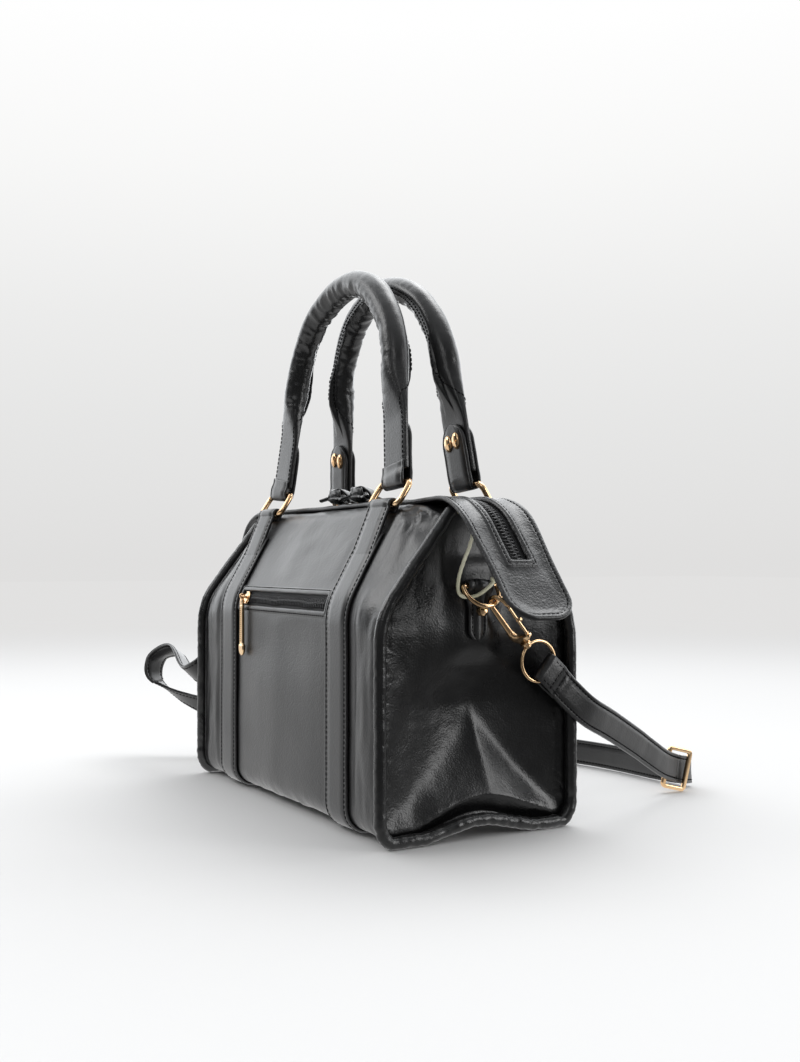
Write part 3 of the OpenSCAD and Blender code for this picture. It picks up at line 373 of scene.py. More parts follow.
body_leather = leather("body_leather", 0.010, 0.37, coat=0.2)
# The end panels' leather is the body's leather with a darker base colour: painted shade for ends that face
# away from the light.
shaded_end_leather = leather("shaded_end_leather", 0.0055, 0.3, depth=0.32, coat=0.1)
strap_leather = leather("strap_leather", 0.011, 0.38, depth=0.28, coat=0.25)
soft_leather = leather("soft_leather", 0.008, 0.30, pebble_scale=1000, coat=0.2)
tongue_leather = leather("tongue_leather", 0.010, 0.36, pebble_scale=700, depth=0.6)

# Body panels
# Front and back are one soft sheet each, turned over the shoulders and sewn to the zip
# panel. They stand full between the straps and pucker along the piping.
body_half_l = 143
panel_half = 141.4
front_folds, back_folds = 2.0, 7.0
half_d = 69
body_h = 207
base_z = 3
corner_r, shoulder_r, crest_r = 14, 45, 18
shoulder_y, shoulder_z = 24, 130
strap_at = 90
pocket_half = 70
pocket_angles = (9.7, 23.3)
corner_rows, wall_rows = 9, 32
above_wall = corner_rows + wall_rows


def arc_points(centre, r, angles):
    """Places on an arc, with angles in degrees."""
    angles = np.radians(angles)
    return np.stack([centre[0] + r * np.cos(angles), centre[1] + r * np.sin(angles)], -1)


def blend_at(x):
    """The share of the middle section at a place: 1 in the middle, 0 at both ends."""
    return 1 - smooth((abs(x) - 106) / (body_half_l - 106))


def body_outline(blend, off, ledge=None):
    """Half the outline across the bag as (depth, height), from base to crest."""
    shoulder_centre = np.array((shoulder_y, shoulder_z - 9 * (1 - blend)))
    crest_centre = np.array((8 + 14 * blend, body_h - crest_r - 3 * (1 - blend)))
    d = crest_centre - shoulder_centre
    slope = np.degrees(np.arctan2(-d[0], d[1]) + np.arcsin((shoulder_r - crest_r) / np.linalg.norm(d)))
    stops = [0, pocket_angles[0] / 29.2, pocket_angles[1] / 29.2, 1]
    shares = np.concatenate([np.linspace(stops[0], stops[1], 5)[:-1],
                             np.linspace(stops[1], stops[2], 9)[:-1], np.linspace(stops[2], stops[3], 4)])
    corner = arc_points((half_d - corner_r, base_z + corner_r), corner_r + off,
                        np.linspace(-90, 0, corner_rows))
    shoulder = arc_points(shoulder_centre, shoulder_r + off, shares * slope)
    crest = arc_points(crest_centre, crest_r + off, np.linspace(slope, 90, 12))
    wall = np.linspace(corner[-1], shoulder[0], wall_rows + 2)[1:-1]
    rise = np.linspace(shoulder[-1], crest[0], 18)[1:-1]
    parts = [corner, wall, shoulder, rise, crest]
    if ledge is not None:
        parts.append(np.linspace(crest[-1], (min(ledge, crest[-1][0] - 0.5), crest[-1][1]), 3)[1:])
    return np.vstack(parts)


def ripple(points, size, seed, octaves=2):
    """Soft noise at each point, in waves of about the size given."""
    found = np.empty(len(points))
    for i, p in enumerate(points):
        found[i] = noise.fractal(Vector(p / size) + Vector((seed, seed * 1.7, -seed)), 1.0, 2.0, octaves,
                                 noise_basis="PERLIN_ORIGINAL")
    return found


def drape(points, seed):
    """How far the panel leaves its pattern, outwards, at each place."""
    x, y, z = np.abs(points[:, 0]), np.abs(points[:, 1]), points[:, 2]
    free = smooth((np.abs(x - strap_at) - 17) / 9)
    sewn = smooth((body_half_l - 2 - x) / 7)
    low = smooth((z - 6) / 20) * smooth((172 - z) / 40)
    full = 1.7 * smooth((76 - x) / 50) * low * smooth((118 - z) / 40)
    side = 1.3 * smooth((x - 108) / 12) * smooth((140 - x) / 14) * low
    broad = 0.9 * ripple(points * (1, 1, 0.45), 55, seed)
    end_zone = smooth((x - 104) / 14)
    drag = end_zone * (0.9 * ripple(points * (1.5, 1, 0.5), 20, seed + 3)
                       + 0.12 * ripple(points, 6.5, seed + 4))
    top_zone = smooth((z - 160) / 25) * (0.35 + 0.65 * end_zone)
    crush = top_zone * (1.2 * ripple(points * (0.6, 1, 1.2), 15, seed + 5)
                        + 0.2 * ripple(points, 5, seed + 6))
    gather = smooth((x - 100) / 12) * smooth((z - 184) / 12) * smooth((143 - x) / 6)
    crush += gather * (3.2 * np.abs(ripple(points * (0.55, 1.4, 1.4), 9, seed + 11)) - 0.8)
    near_seam = 1 - smooth((body_half_l - x) / 13)
    pucker = near_seam * 0.9 * np.abs(ripple(points * (0.15, 1, 1), 4.2, seed + 8))
    base = (1 - smooth((z - 4) / 16)) * (0.8 * ripple(points * (1, 1, 0.4), 11, seed + 9))
    pocket = 1 - smooth((76 - x) / 4) * smooth((z - 126) / 6) * smooth((160 - z) / 6)
    under_zip = smooth((y - 17) / 9) + (1 - smooth((z - 196) / 6))
    shift = sewn * (full + side + broad + drag + crush + base) + pucker
    return free * shift * pocket * np.clip(under_zip, 0, 1)


def base_rise(x, y):
    """The bottom edge of each end stands clear of the ground between its corners."""
    return 7.5 * smooth((np.abs(x) - 122) / 20) * (1 - smooth(np.abs(y) / 46))


panel_x = np.unique(np.concatenate([np.linspace(-panel_half, -106, 36),
                                    np.linspace(-106, -pocket_half, 22),
                                    np.linspace(-pocket_half, pocket_half, 71),
                                    np.linspace(pocket_half, 106, 22), np.linspace(106, panel_half, 36)]))
rows_of_panel = [body_outline(blend_at(x), 0, 11) for x in panel_x]
panel_rows = len(rows_of_panel[0])


def body_sheet(side, seed, off):
    """The front or back sheet of leather, moved out by off."""
    flat = np.array([[(x, side * y, z) for y, z in row] for x, row in zip(panel_x, rows_of_panel)])
    out_of = np.array([body_outline(blend_at(x), 1, 11) for x in panel_x]) - np.array(rows_of_panel)
    outward = np.zeros_like(flat)
    outward[..., 1], outward[..., 2] = side * out_of[..., 0], out_of[..., 1]
    shift = drape(flat.reshape(-1, 3), seed).reshape(flat.shape[:2]) + off
    placed = flat + unit(outward) * shift[..., None]
    placed[..., 2] += base_rise(placed[..., 0], placed[..., 1]) * (1 - smooth((placed[..., 2] - 3) / 30))
    return placed


def sheet_faces(keep, side):
    """Faces of a sheet where keep allows, turned to face outwards."""
    rows, cols = len(panel_x), panel_rows
    faces = grid_faces(rows, cols)
    kept = [f for k, f in enumerate(faces) if keep(k // (cols - 1), k % (cols - 1))]
    return kept if side < 0 else [f[::-1] for f in kept]


slot_first = above_wall + 4
slot_cols = range(slot_first, slot_first + 8)


def outside_pocket(i, j):
    mid = (panel_x[i] + panel_x[i + 1]) / 2
    return not (abs(mid) < pocket_half and j in slot_cols)


new_piece("front_leather", body_sheet(-1, front_folds, 0), sheet_faces(outside_pocket, -1), body_leather,
          "bag", ["front_panel"])
new_piece("back_leather", body_sheet(1, back_folds, 0), sheet_faces(lambda i, j: True, 1), body_leather,
          "bag", ["back_panel"])

# Base
# The leather between the lower corners. It lies over a stiff board that ends short of
# the end panels.
base_half = half_d - corner_r
base_x = np.linspace(-panel_half, panel_half, 90)
base_y = np.linspace(-base_half, base_half, 34)
grid_x, grid_y = np.meshgrid(base_x, base_y, indexing="ij")
flat = np.stack([grid_x, grid_y, np.full_like(grid_x, float(base_z))], -1)
sag = 0.35 * ripple(flat.reshape(-1, 3), 34,
                    5.0).reshape(grid_x.shape) * smooth((base_half - np.abs(grid_y)) / 10)
flat[..., 2] += sag + base_rise(grid_x, grid_y)
new_piece("base_leather", flat, grid_faces(*grid_x.shape), body_leather, "bag",
          ["base_panel"])


# End panels
# One soft sheet at each end, pushed in below the side tab so that it folds in an upside
# down V whose two creases run to the lower corners.
def end_dent(y, z, half_width):
    """How far the end panel folds inwards at each place, after the creases in the picture."""
    inset = half_width - np.abs(y)
    valley = 13.5 - 9.5 * smooth((z - 78) / 52)
    sides = valley * inset / np.maximum(half_width - 14, 10)
    ledge = 23 - 15 * np.minimum(np.abs((y - 8) / 52), 1) ** 1.5
    away = np.abs(y - 4 - 0.12 * np.maximum(75 - z, 0))
    low = (z - 3) / np.maximum(ledge - 3, 1)
    hollow = 6 * (1 - low) * smooth(low * 3.5) - 1.8 * smooth(low * 2)
    nose = np.where(low < 1, hollow, -1.8 + 0.29 * (z - ledge))
    nose += (0.03 + 0.30 * smooth((z - 8) / 72)) * away
    folds = np.stack([sides, nose, valley])
    soft = 1.2 + 1.3 * smooth((6 - y) / 20)
    return -soft * np.log(np.exp(-folds / soft).sum(0)) * smooth(inset / 5)


end_outline = body_outline(0.0, 0)
slope_z = end_outline[above_wall:, 1]
end_z = np.concatenate([end_outline[:corner_rows, 1], np.linspace(17, 121, 76)[1:-1],
                        slope_z[slope_z > 121]])
end_z = np.unique(np.round(end_z, 4))
end_half = np.interp(end_z, end_outline[:, 1], end_outline[:, 0])
end_share = np.sin(np.linspace(-np.pi / 2, np.pi / 2, 91)) * 0.35 + np.linspace(-1, 1, 91) * 0.65


def end_sheet(side, off):
    """The soft sheet of one end, moved in by off."""
    y = end_half[:, None] * end_share[None]
    z = np.repeat(end_z[:, None], len(end_share), 1)
    half_width = np.repeat(end_half[:, None], len(end_share), 1)
    dent = end_dent(side * y, z, half_width)
    spots = np.stack([np.zeros_like(y) + side * 300, y, z], -1).reshape(-1, 3)
    seam = smooth((half_width - np.abs(y)) / 14) * smooth((z - 3) / 12) * smooth((206 - z) / 10)
    tab = 1 - smooth((24 - np.abs(y)) / 17) * smooth((z - 104) / 20) * smooth((176 - z) / 10)
    waves = (0.9 * ripple(spots * (1, 1, 0.6), 30, 3 + side)
             + 0.16 * ripple(spots, 9, 6 + side)).reshape(y.shape)
    near_seam = 1 - smooth((half_width - np.abs(y)) / 12)
    pucker = near_seam * np.abs(ripple(spots, 5, 9 + side)).reshape(y.shape)
    x = body_half_l - off - tab * (dent + seam * waves
                                   + 1.4 * pucker * smooth((half_width - np.abs(y)) / 3))
    z = z + base_rise(np.full_like(y, body_half_l), y) * (1 - smooth((z - 3) / 34))
    return np.stack([side * x, y, z], -1)


for side, end in ((1, "right"), (-1, "left")):
    faces = grid_faces(len(end_z), len(end_share))
    if side > 0:
        faces = [f[::-1] for f in faces]
    new_piece("shaded_end_leather_" + end, end_sheet(side, 0), faces, shaded_end_leather, "bag",
              ["end_panel_" + end])

# Lining
# A thin black fabric bag sewn in at the zip, which follows the leather from inside.
lining_cloth, nodes, links, shader = surface("lining_cloth", {"Roughness": 0.75})
place = node(nodes, "TexCoord")
threads = node(nodes, "TexWave", {"Scale": 420}, wave_type="BANDS", bands_direction="X")
crossing = node(nodes, "TexWave", {"Scale": 420}, wave_type="BANDS", bands_direction="Z")
weave = node(nodes, "Math", operation="ADD")
uneven = node(nodes, "TexNoise", {"Scale": 70})
shades = ramp(nodes, (0, (0.018, 0.017, 0.017, 1)), (1, (0.042, 0.040, 0.040, 1)))
relief = node(nodes, "Bump", {"Strength": 0.3, "Distance": 0.0001})
wire(links, (place, "Object", threads, "Vector"), (place, "Object", crossing, "Vector"),
     (place, "Object", uneven, "Vector"), (threads, "Fac", weave, 0), (crossing, "Fac", weave, 1),
     (weave, 0, relief, "Height"), (uneven, "Fac", shades, "Fac"),
     (shades, "Color", shader, "Base Color"), (relief, "Normal", shader, "Normal"))


def joined(parts):
    """Several lots of (points, faces) as one."""
    points, faces, first = [], [], 0
    for some, these in parts:
        some = np.asarray(some, float).reshape(-1, 3)
        points.append(some)
        faces += [[first + k for k in f] for f in these]
        first += len(some)
    return np.vstack(points), faces


lining_in, lining_half = 2.6, 140.2
end_faces = grid_faces(len(end_z), len(end_share))
lining_points, lining_faces = joined([(body_sheet(-1, front_folds, -lining_in),
                                       sheet_faces(outside_pocket, 1)),
                                      (body_sheet(1, back_folds, -lining_in),
                                       sheet_faces(lambda i, j: True, -1)),
                                      (flat + (0, 0, lining_in), grid_faces(*grid_x.shape)),
                                      (end_sheet(1, lining_in - 0.2), end_faces),
                                      (end_sheet(-1, lining_in - 0.2), end_faces)])
lining_points[:, 0] = np.clip(lining_points[:, 0], -lining_half, lining_half)
new_piece("lining_bag", lining_points, lining_faces, lining_cloth, "bag", ["lining"])

# Base board
# The stiffening board of dark pressed fibre with rounded corners. It lies between the
# lining and the leather.
board_grey, nodes, links, shader = surface("board_grey", {"Roughness": 0.85})
place = node(nodes, "TexCoord")
fibres = node(nodes, "TexNoise", {"Scale": 320, "Detail": 4})
shades = ramp(nodes, (0, (0.035, 0.034, 0.033, 1)), (1, (0.065, 0.063, 0.06, 1)))
wire(links, (place, "Object", fibres, "Vector"), (fibres, "Fac", shades, "Fac"),
     (shades, "Color", shader, "Base Color"))
corners = ((126, 46, 0), (-126, 46, 90), (-126, -46, 180), (126, -46, 270))
rim = np.vstack([arc_points((x, y), 8, np.linspace(a, a + 90, 9)) for x, y, a in corners])
board = [np.column_stack([rim * (1 - inset / 60), np.full(len(rim), z)])
         for z, inset in ((6.1, 0.3), (6.5, 0), (8.1, 0), (8.5, 0.3))]
new_piece("base_stiffener", np.vstack(board), tube_faces(4, len(rim)), board_grey, "bag",
          ["base_board"])

# Rolled piping
# Leather rolled over a cord and sewn into the seam between end and body. It follows the
# end outline from one edge of the zip panel, round the base, to the other.
piping_r, piping_proud = 4, 1.5


def piping_path():
    """The piping's line, its flange's line, the distance along, and the way out."""
    outline = body_outline(0.0, 0)
    half = outline[:-3]
    points = np.vstack([half[::-1] * (-1, 1), half])
    points = points[np.r_[True, np.linalg.norm(np.diff(points, axis=0), axis=1) > 1e-6]]
    run = run_along(points)
    even = np.linspace(0, run[-1], 420)
    points = np.stack([np.interp(even, run, points[:, k]) for k in (0, 1)], -1)
    way = unit(np.gradient(points, axis=0))
    outward = np.stack([way[:, 1], -way[:, 0]], -1)
    room = np.where(outward[:, 1] < -0.01, (points[:, 1] - piping_r) / np.maximum(-outward[:, 1], 0.01),
                    piping_proud)
    centre = points + outward * np.minimum(piping_proud, room)[:, None]
    seam = points - outward * 1.1
    return [np.stack([np.full(len(p), x), p[:, 0], p[:, 1]], -1)
            for p, x in ((centre, body_half_l + 3.9), (seam, body_half_l - 3.6))] + [even, outward]


# Its two raw edges run on as a flat flange, caught between the panels by the seam
piping_line, flange_line, piping_run, piping_out = piping_path()
for side, end in ((1, "right"), (-1, "left")):
    line = piping_line.copy()
    rise = base_rise(np.full(len(line), body_half_l), line[:, 1])
    line[:, 2] += rise * (1 - smooth((line[:, 2] - 3) / 30))
    spots = line * (side, 1, 1)
    line[:, 0] += 0.5 * ripple(spots, 17, 21)
    across = np.repeat([[1.0, 0, 0]], len(line), 0)
    corner = 1 - smooth((line[:, 2] - 8) / 34)
    tube = tube_points(line, 1.0, 20, across)
    centre = line[:, None]
    spread = (tube - centre).reshape(-1, 3)
    rim = np.repeat(spots[:, None], 20, 1).reshape(-1, 3) + spread * 2.5
    crimp = (0.32 * ripple(rim * (0.35, 1, 1), 3.4, 23 + side)
             + 0.25 * ripple(rim, 9, 25 + side)).reshape(tube.shape[:2])
    crimp *= (0.75 + 0.9 * corner + 0.5 * smooth((line[:, 2] - 170) / 20))[:, None]
    taper = np.minimum(1, 0.45 + 0.55 * smooth(np.minimum(piping_run, piping_run[-1] - piping_run) / 10))
    radius = (piping_r - 0.15 + crimp) * taper[:, None]
    tube = centre + spread.reshape(tube.shape) * radius[..., None]
    tube[..., 2] = np.maximum(tube[..., 2], 0.05)
    root = flange_line + (line - piping_line)
    thick = 0.5 * np.insert(piping_out, 0, 0, axis=1)
    flange = np.stack([line + thick, root + thick, root - thick, line - thick], 1)
    flange[..., 2] = np.maximum(flange[..., 2], 0.3)
    roll, faces = joined([(tube, tube_faces(len(line), 20)), (flange[:, ::-1], tube_faces(len(line), 4))])
    new_piece("piping_roll_" + end, roll * (side, 1, 1), faces, soft_leather, "bag",
              ["piping_" + end])


# Straps
# Flat straps of two layers, glued and sewn along both edges, with pressed edges. The
# stitches are black thread, drawn tight into the leather.
seam_in = 2.6


def strap_section(width, thick, seam=seam_in, dip=0.5, crown=0.2):
    """A strap cut across: its top has a sewn groove at each edge and a slight crown."""
    half, h = width / 2, thick / 2
    line = seam - half
    top = [(h - half, h), (line - 0.9, h + 0.05), (line - 0.25, h - dip), (line + 0.25, h - dip),
           (line + 1.0, h + crown * 0.6), (-half * 0.4, h + crown), (0, h + crown)]
    top = top + [(-u, v) for u, v in top[-2::-1]]
    edge = [(half - h + h * math.cos(t), h * math.sin(t)) for t in (1.0, 0.35, -0.35, -1.0)]
    under = [(half - h, -h), (half * 0.3, -h), (-half * 0.3, -h), (-half + h, -h)]
    return np.array(top + edge + under + [(-u, v) for u, v in edge[::-1]])


def band_points(path, wide, section, narrow=None):
    """A strap along a path, with its section set across."""
    path = np.asarray(path, float)
    wide = np.broadcast_to(np.asarray(wide, float), path.shape)
    along, u, v = frames_along(path, wide)
    narrow = np.ones(len(path)) if narrow is None else narrow
    return (path[:, None] + section[None, :, :1] * narrow[:, None, None] * u[:, None]
            + section[None, :, 1:] * v[:, None])


def both_edges(width):
    """Where the two edge seams of a strap run across it."""
    return seam_in - width / 2, width / 2 - seam_in


def even_path(path, step):
    """The same path in even steps."""
    path = np.asarray(path, float)
    keep = np.r_[True, np.linalg.norm(np.diff(path, axis=0), axis=1) > 1e-6]
    path = path[keep]
    run = run_along(path)
    even = np.linspace(0, run[-1], max(3, int(run[-1] / step) + 1))
    return np.stack([np.interp(even, run, path[:, k]) for k in range(path.shape[1])], -1)


thread, nodes, links, shader = surface("black_thread", {"Roughness": 0.9, "Specular IOR Level": 0.15})
place = node(nodes, "TexCoord")
twist = node(nodes, "TexWave", {"Scale": 1400}, wave_type="BANDS", bands_direction="DIAGONAL")
shades = ramp(nodes, (0, (0.003, 0.003, 0.003, 1)), (1, (0.010, 0.010, 0.011, 1)))
wire(links, (place, "Object", twist, "Vector"), (twist, "Fac", shades, "Fac"),
     (shades, "Color", shader, "Base Color"))


def stitches(name, lines, body, pitch=3.3, long=2.4, thick=0.85):
    """Sewn stitches along lines of (points, outward directions)."""
    t = np.arange(6) * np.pi / 3
    stations = np.array([(-0.5, 0.25), (-0.34, 1), (0.34, 1), (0.5, 0.25)])
    rings, faces, count = [], [], 0
    for points, outward in lines:
        both = even_path(np.hstack([points, np.broadcast_to(outward, np.shape(points))]), pitch / 3)
        points, outward = both[:, :3], unit(both[:, 3:])
        along = unit(np.gradient(points, axis=0))
        for k in range(1, len(points) - 1, 3):
            a, n = along[k], outward[k]
            n = unit(n - n.dot(a) * a)
            s = np.cross(a, n)
            for x, r in stations:
                r = r * thick / 2
                rings.append(points[k] + a * x * long + n * 0.05 + r * (
                    np.cos(t)[:, None] * s + 0.8 * np.sin(t)[:, None] * n))
            faces += tube_faces(4, 6, count)
            count += 24
    return new_piece(name, np.vstack(rings), faces, thread, body)


def edge_lines(path, wide, section, seams):
    """Lines on the top of a strap at the places across it, with the outward direction."""
    path = np.asarray(path, float)
    wide = np.broadcast_to(np.asarray(wide, float), path.shape)
    along, u, v = frames_along(path, wide)
    height = section[:, 1].max() - 0.28
    return [(path + u * at + v * height, v) for at in seams]


strap_thick, strap_wide = 2.2, 30
strap_outline = body_outline(1.0, 1.15)
strap_half = strap_outline[:70]
under_base = [(y, 1.85) for y in (-40, -20, 0, 20, 40)]
strap_line = np.vstack([strap_half[::-1] * (-1, 1), under_base, strap_half])
for x, end in ((strap_at, "right"), (-strap_at, "left")):
    path = even_path(np.column_stack([np.full(len(strap_line), float(x)), strap_line]), 3.0)
    section = strap_section(strap_wide, strap_thick)
    points = band_points(path, (1, 0, 0), section)
    wave = 0.5 * ripple(points.reshape(-1, 3) * (0.2, 1, 1), 30, x).reshape(points.shape[:2])
    points[..., 0] += wave
    new_piece("body_strap_" + end, points, tube_faces(len(path), len(section)), strap_leather, "bag",
              ["strap_" + end])
    stitches("body_strap_stitches_" + end, edge_lines(path, (1, 0, 0), section, both_edges(strap_wide)),
             "bag")

# Ring loops
# A short strap folded round the lower bar of each handle ring, its end hidden under the
# body strap's sewn-down top.
bar_y, bar_z = 36.431, 206.198
ring_fold_wide = 28
slope_end = strap_outline[64]
for side, front in ((-1, "front"), (1, "back")):
    for x, end in ((strap_at, "right"), (-strap_at, "left")):
        sleeve = arc_points((bar_y, bar_z), 3.25, np.linspace(-24, 214, 26))
        line = np.vstack([np.linspace(slope_end, sleeve[0], 12)[:-1], sleeve,
                          [(34.6, 202.6), (35.4, 201.2)]])
        line = np.column_stack([np.full(len(line), float(x)), side * line[:, 0], line[:, 1]])
        line = even_path(line, 1.0)
        section = strap_section(ring_fold_wide, 2.1)
        points = band_points(line, (side, 0, 0), section)
        new_piece(f"ring_fold_{front}_{end}", points, tube_faces(len(line), len(section)), strap_leather,
                  "bag", [f"ring_loop_{front}_{end}"])
        slope_long = np.linalg.norm(sleeve[0] - slope_end)
        straight = line[:int(np.searchsorted(run_along(line), slope_long)) - 1]
        seam = straight[-9] + np.column_stack([np.linspace(-11.5, 11.5, 24), np.zeros(24), np.zeros(24)])
        outward = np.array((0, side * (sleeve[0] - slope_end)[1], (slope_end - sleeve[0])[0]))
        stitches(f"ring_fold_stitches_{front}_{end}",
                 edge_lines(straight, (side, 0, 0), section, both_edges(ring_fold_wide))
                 + [(seam + unit(outward) * 0.9, outward)], "bag")

# Zip panel
# One long leather panel with a slot for the zip: flat over the opening, bent down at both
# ends into a tongue. Its edges are folded under and sewn, and the slot has a sewn frame.
zip_half, slot_half, zip_thick = 26, 6.25, 3
zip_flat_half, bend_radius, bend_deg = 135, 45, 50
tongue_long, tongue_round, tongue_tip = 72, 18, 44
bend_long = bend_radius * math.radians(bend_deg)
slot_end = zip_flat_half + bend_long + tongue_long - tongue_tip
tongue_end = zip_flat_half + bend_long + tongue_long


def on_zip(run, y, height):
    """Place at a distance along the zip panel, across it, and over its underside."""
    past = np.abs(run) - zip_flat_half
    angle = np.clip(past, 0, bend_long) / bend_radius
    down = np.maximum(past - bend_long, 0)
    r = bend_radius + height
    x = zip_flat_half + np.minimum(past, 0) + r * np.sin(angle) + down * np.cos(angle)
    z = body_h - bend_radius + r * np.cos(angle) - down * np.sin(angle)
    return np.stack([np.sign(run) * x, y + 0 * x, z], -1)


def two_faced(name, top, low, rim, keep, material, body=None, nodes=()):
    """A sheet of leather with both faces, closed round its rim, where the two grids meet."""
    rows, cols = rim.shape
    upper = np.arange(rows * cols).reshape(rows, cols)
    under = np.where(rim, upper, upper + rows * cols)
    i, j = np.nonzero(keep)
    quads = [np.stack([g[i, j], g[i, j + 1], g[i + 1, j + 1], g[i + 1, j]], -1) for g in (upper, under)]
    points = np.vstack([top.reshape(-1, 3), low.reshape(-1, 3)])
    a, b, c, d = (points[quads[0][:, k]] for k in range(4))
    up = (np.cross(c - a, d - b) * (a - points[quads[1][:, 0]] + c - points[quads[1][:, 2]])).sum()
    quads = np.vstack([quads[0], quads[1][:, ::-1]] if up > 0 else [quads[0][:, ::-1], quads[1]])
    used, renamed = np.unique(quads, return_inverse=True)
    return new_piece(name, points[used], renamed.reshape(-1, 4).tolist(), material, body, nodes)


def rolled(edge, thick):
    """Half the thickness at a distance from the folded edge."""
    return thick / 2 * np.sqrt(1 - (1 - np.clip(edge / (thick / 2), 0, 1)) ** 2)


near_edge = np.array([0, 0.15, 0.45, 0.9, 1.5, 2.3, 3.0, 3.5, 3.9, 4.3, 4.8, 5.1, 5.5, 6.2])
half_runs = np.concatenate([np.linspace(0, zip_flat_half, 46),
                            np.linspace(zip_flat_half, zip_flat_half + bend_long, 22),
                            np.arange(zip_flat_half + bend_long, slot_end - 1, 2.0), slot_end + near_edge,
                            np.linspace(slot_end + 7.5, tongue_end - 14, 6), tongue_end - near_edge,
                            tongue_end - np.array([7, 8.5, 10, 12])])
half_runs = np.unique(np.round(half_runs, 4))
zip_runs = np.concatenate([-half_runs[:0:-1], half_runs])
half_cols = np.unique(np.round(np.concatenate([np.linspace(0, slot_half, 6), slot_half + near_edge,
                                               np.linspace(slot_half + 7, zip_half - 7, 4),
                                               zip_half - near_edge]), 4))
zip_cols = np.concatenate([-half_cols[:0:-1], half_cols])
run, across = np.meshgrid(zip_runs, zip_cols, indexing="ij")
left_to_tip = tongue_end - np.abs(run)


def tongue_half(run):
    return zip_half - 2.6 * smooth((np.abs(run) - 160) / 60)


full = tongue_half(run)
round_off = np.sqrt(np.maximum(tongue_round ** 2 - (tongue_round - left_to_tip) ** 2, 0))
breadth = np.where(left_to_tip < tongue_round, full - tongue_round + round_off, full)
y = across * breadth / zip_half
edge_out = np.minimum(full - np.abs(y), left_to_tip)
in_corner = (left_to_tip < tongue_round) & (np.abs(y) > full - tongue_round)
from_corner = np.hypot(tongue_round - left_to_tip, np.abs(y) - full + tongue_round)
edge_out = np.where(in_corner, tongue_round - from_corner, edge_out)
edge_out = np.maximum(np.where(np.abs(np.abs(across) - zip_half) < 1e-6, 0, edge_out), 0)
edge_slot = np.hypot(np.maximum(np.abs(run) - slot_end, 0), np.maximum(np.abs(y) - slot_half, 0))
edge = np.minimum(edge_out, edge_slot)
spots = on_zip(run, y, 0 * y)
relief = -0.32 * np.exp(-((edge_out - 3.6) / 0.5) ** 2) + 0.15 * np.exp(-((edge_out - 2.0) / 1.3) ** 2)
frame_in = np.maximum(np.abs(run) - slot_end, np.abs(y) - slot_half)
relief += 0.75 * (1 - smooth((frame_in - 4.7) / 0.5)) - 0.35 * np.exp(-((frame_in - 3.4) / 0.45) ** 2)
wave = ripple(spots.reshape(-1, 3) * (0.8, 1, 1), 34, 31).reshape(run.shape)
crumple = ripple(spots.reshape(-1, 3), 9, 32).reshape(run.shape)
on_tongue = smooth((np.abs(run) - zip_flat_half) / 30)
lift = 0.9 * wave * smooth(edge_slot / 8) + 0.22 * crumple * smooth(edge / 4)
dish = -1.3 * on_tongue * smooth(edge_out / 9) * smooth(edge_slot / 9)
middle = zip_thick / 2 + lift + dish
thickness = rolled(edge, zip_thick)
cell_run, cell_across = (np.abs(at[:-1, :-1] + at[1:, 1:]) / 2 for at in (run, across))
cut_out = (cell_run < slot_end) & (cell_across < slot_half)
two_faced("zip_leather", on_zip(run, y, middle + thickness + relief * smooth(edge / 1.5)),
          on_zip(run, y, middle - thickness), edge < 1e-6, ~cut_out, tongue_leather, "bag",
          ["zip_panel"])


def zip_seam(away_slot=None, away_edge=None):
    """A closed stitch line at a distance round the slot or inside the outer edge."""
    if away_slot is not None:
        w = slot_half + away_slot
        half = np.array([(slot_end + away_slot, 0), (slot_end + away_slot, w), (0, w)])
    else:
        w, r = zip_half - away_edge, tongue_round - away_edge
        corner = arc_points((tongue_end - tongue_round, zip_half - tongue_round), r, np.linspace(0, 90, 12))
        half = np.vstack([[(tongue_end - away_edge, 0)], corner, [(0, w)]])
    ring = np.vstack([half, (half * (-1, 1))[::-1]])
    ring = np.vstack([ring, (ring * (1, -1))[::-1]])
    ring = even_path(ring, 1.5)
    run, y = ring[:, 0], ring[:, 1]
    if away_slot is None:
        y = y * tongue_half(run) / zip_half
    off_slot = np.hypot(np.maximum(np.abs(run) - slot_end, 0), np.maximum(np.abs(y) - slot_half, 0))
    on_tongue = smooth((np.abs(run) - zip_flat_half) / 30)
    lift = 0.9 * ripple(on_zip(run, y, 0 * y) * (0.8, 1, 1), 34, 31) * smooth(off_slot / 8)
    sunk = -1.3 * on_tongue * smooth((away_edge or 14) / 9) * smooth(off_slot / 9)
    height = zip_thick + lift + sunk - 0.25 + (0.6 if away_slot is not None else 0)
    here = on_zip(run, y, height)
    return here, on_zip(run, y, height + 1) - here


stitches("zip_leather_stitches", [zip_seam(away_slot=3.4), zip_seam(away_edge=3.6)], "bag")

# Zip: woven tape and coil
# A black nylon coil is sewn to the edge of each woven tape: every turn of it is a rounded
# hook, and the hooks of the two sides pass between each other.
woven_group, given, result = new_group("woven_tape", [("Thread Scale", 900)], ["Height", "Shade"])
nodes, links = woven_group.nodes, woven_group.links
place = node(nodes, "TexCoord")
warp_threads = node(nodes, "TexWave", wave_type="BANDS", bands_direction="X")
weft_threads = node(nodes, "TexWave", wave_type="BANDS", bands_direction="Y")
both = node(nodes, "Math", operation="MULTIPLY")
fuzz = node(nodes, "TexNoise", {"Scale": 260})
wire(links, (place, "Object", warp_threads, "Vector"), (place, "Object", weft_threads, "Vector"),
     (place, "Object", fuzz, "Vector"), (given, "Thread Scale", warp_threads, "Scale"),
     (given, "Thread Scale", weft_threads, "Scale"), (warp_threads, "Fac", both, 0),
     (weft_threads, "Fac", both, 1), (both, 0, result, "Height"), (fuzz, "Fac", result, "Shade"))


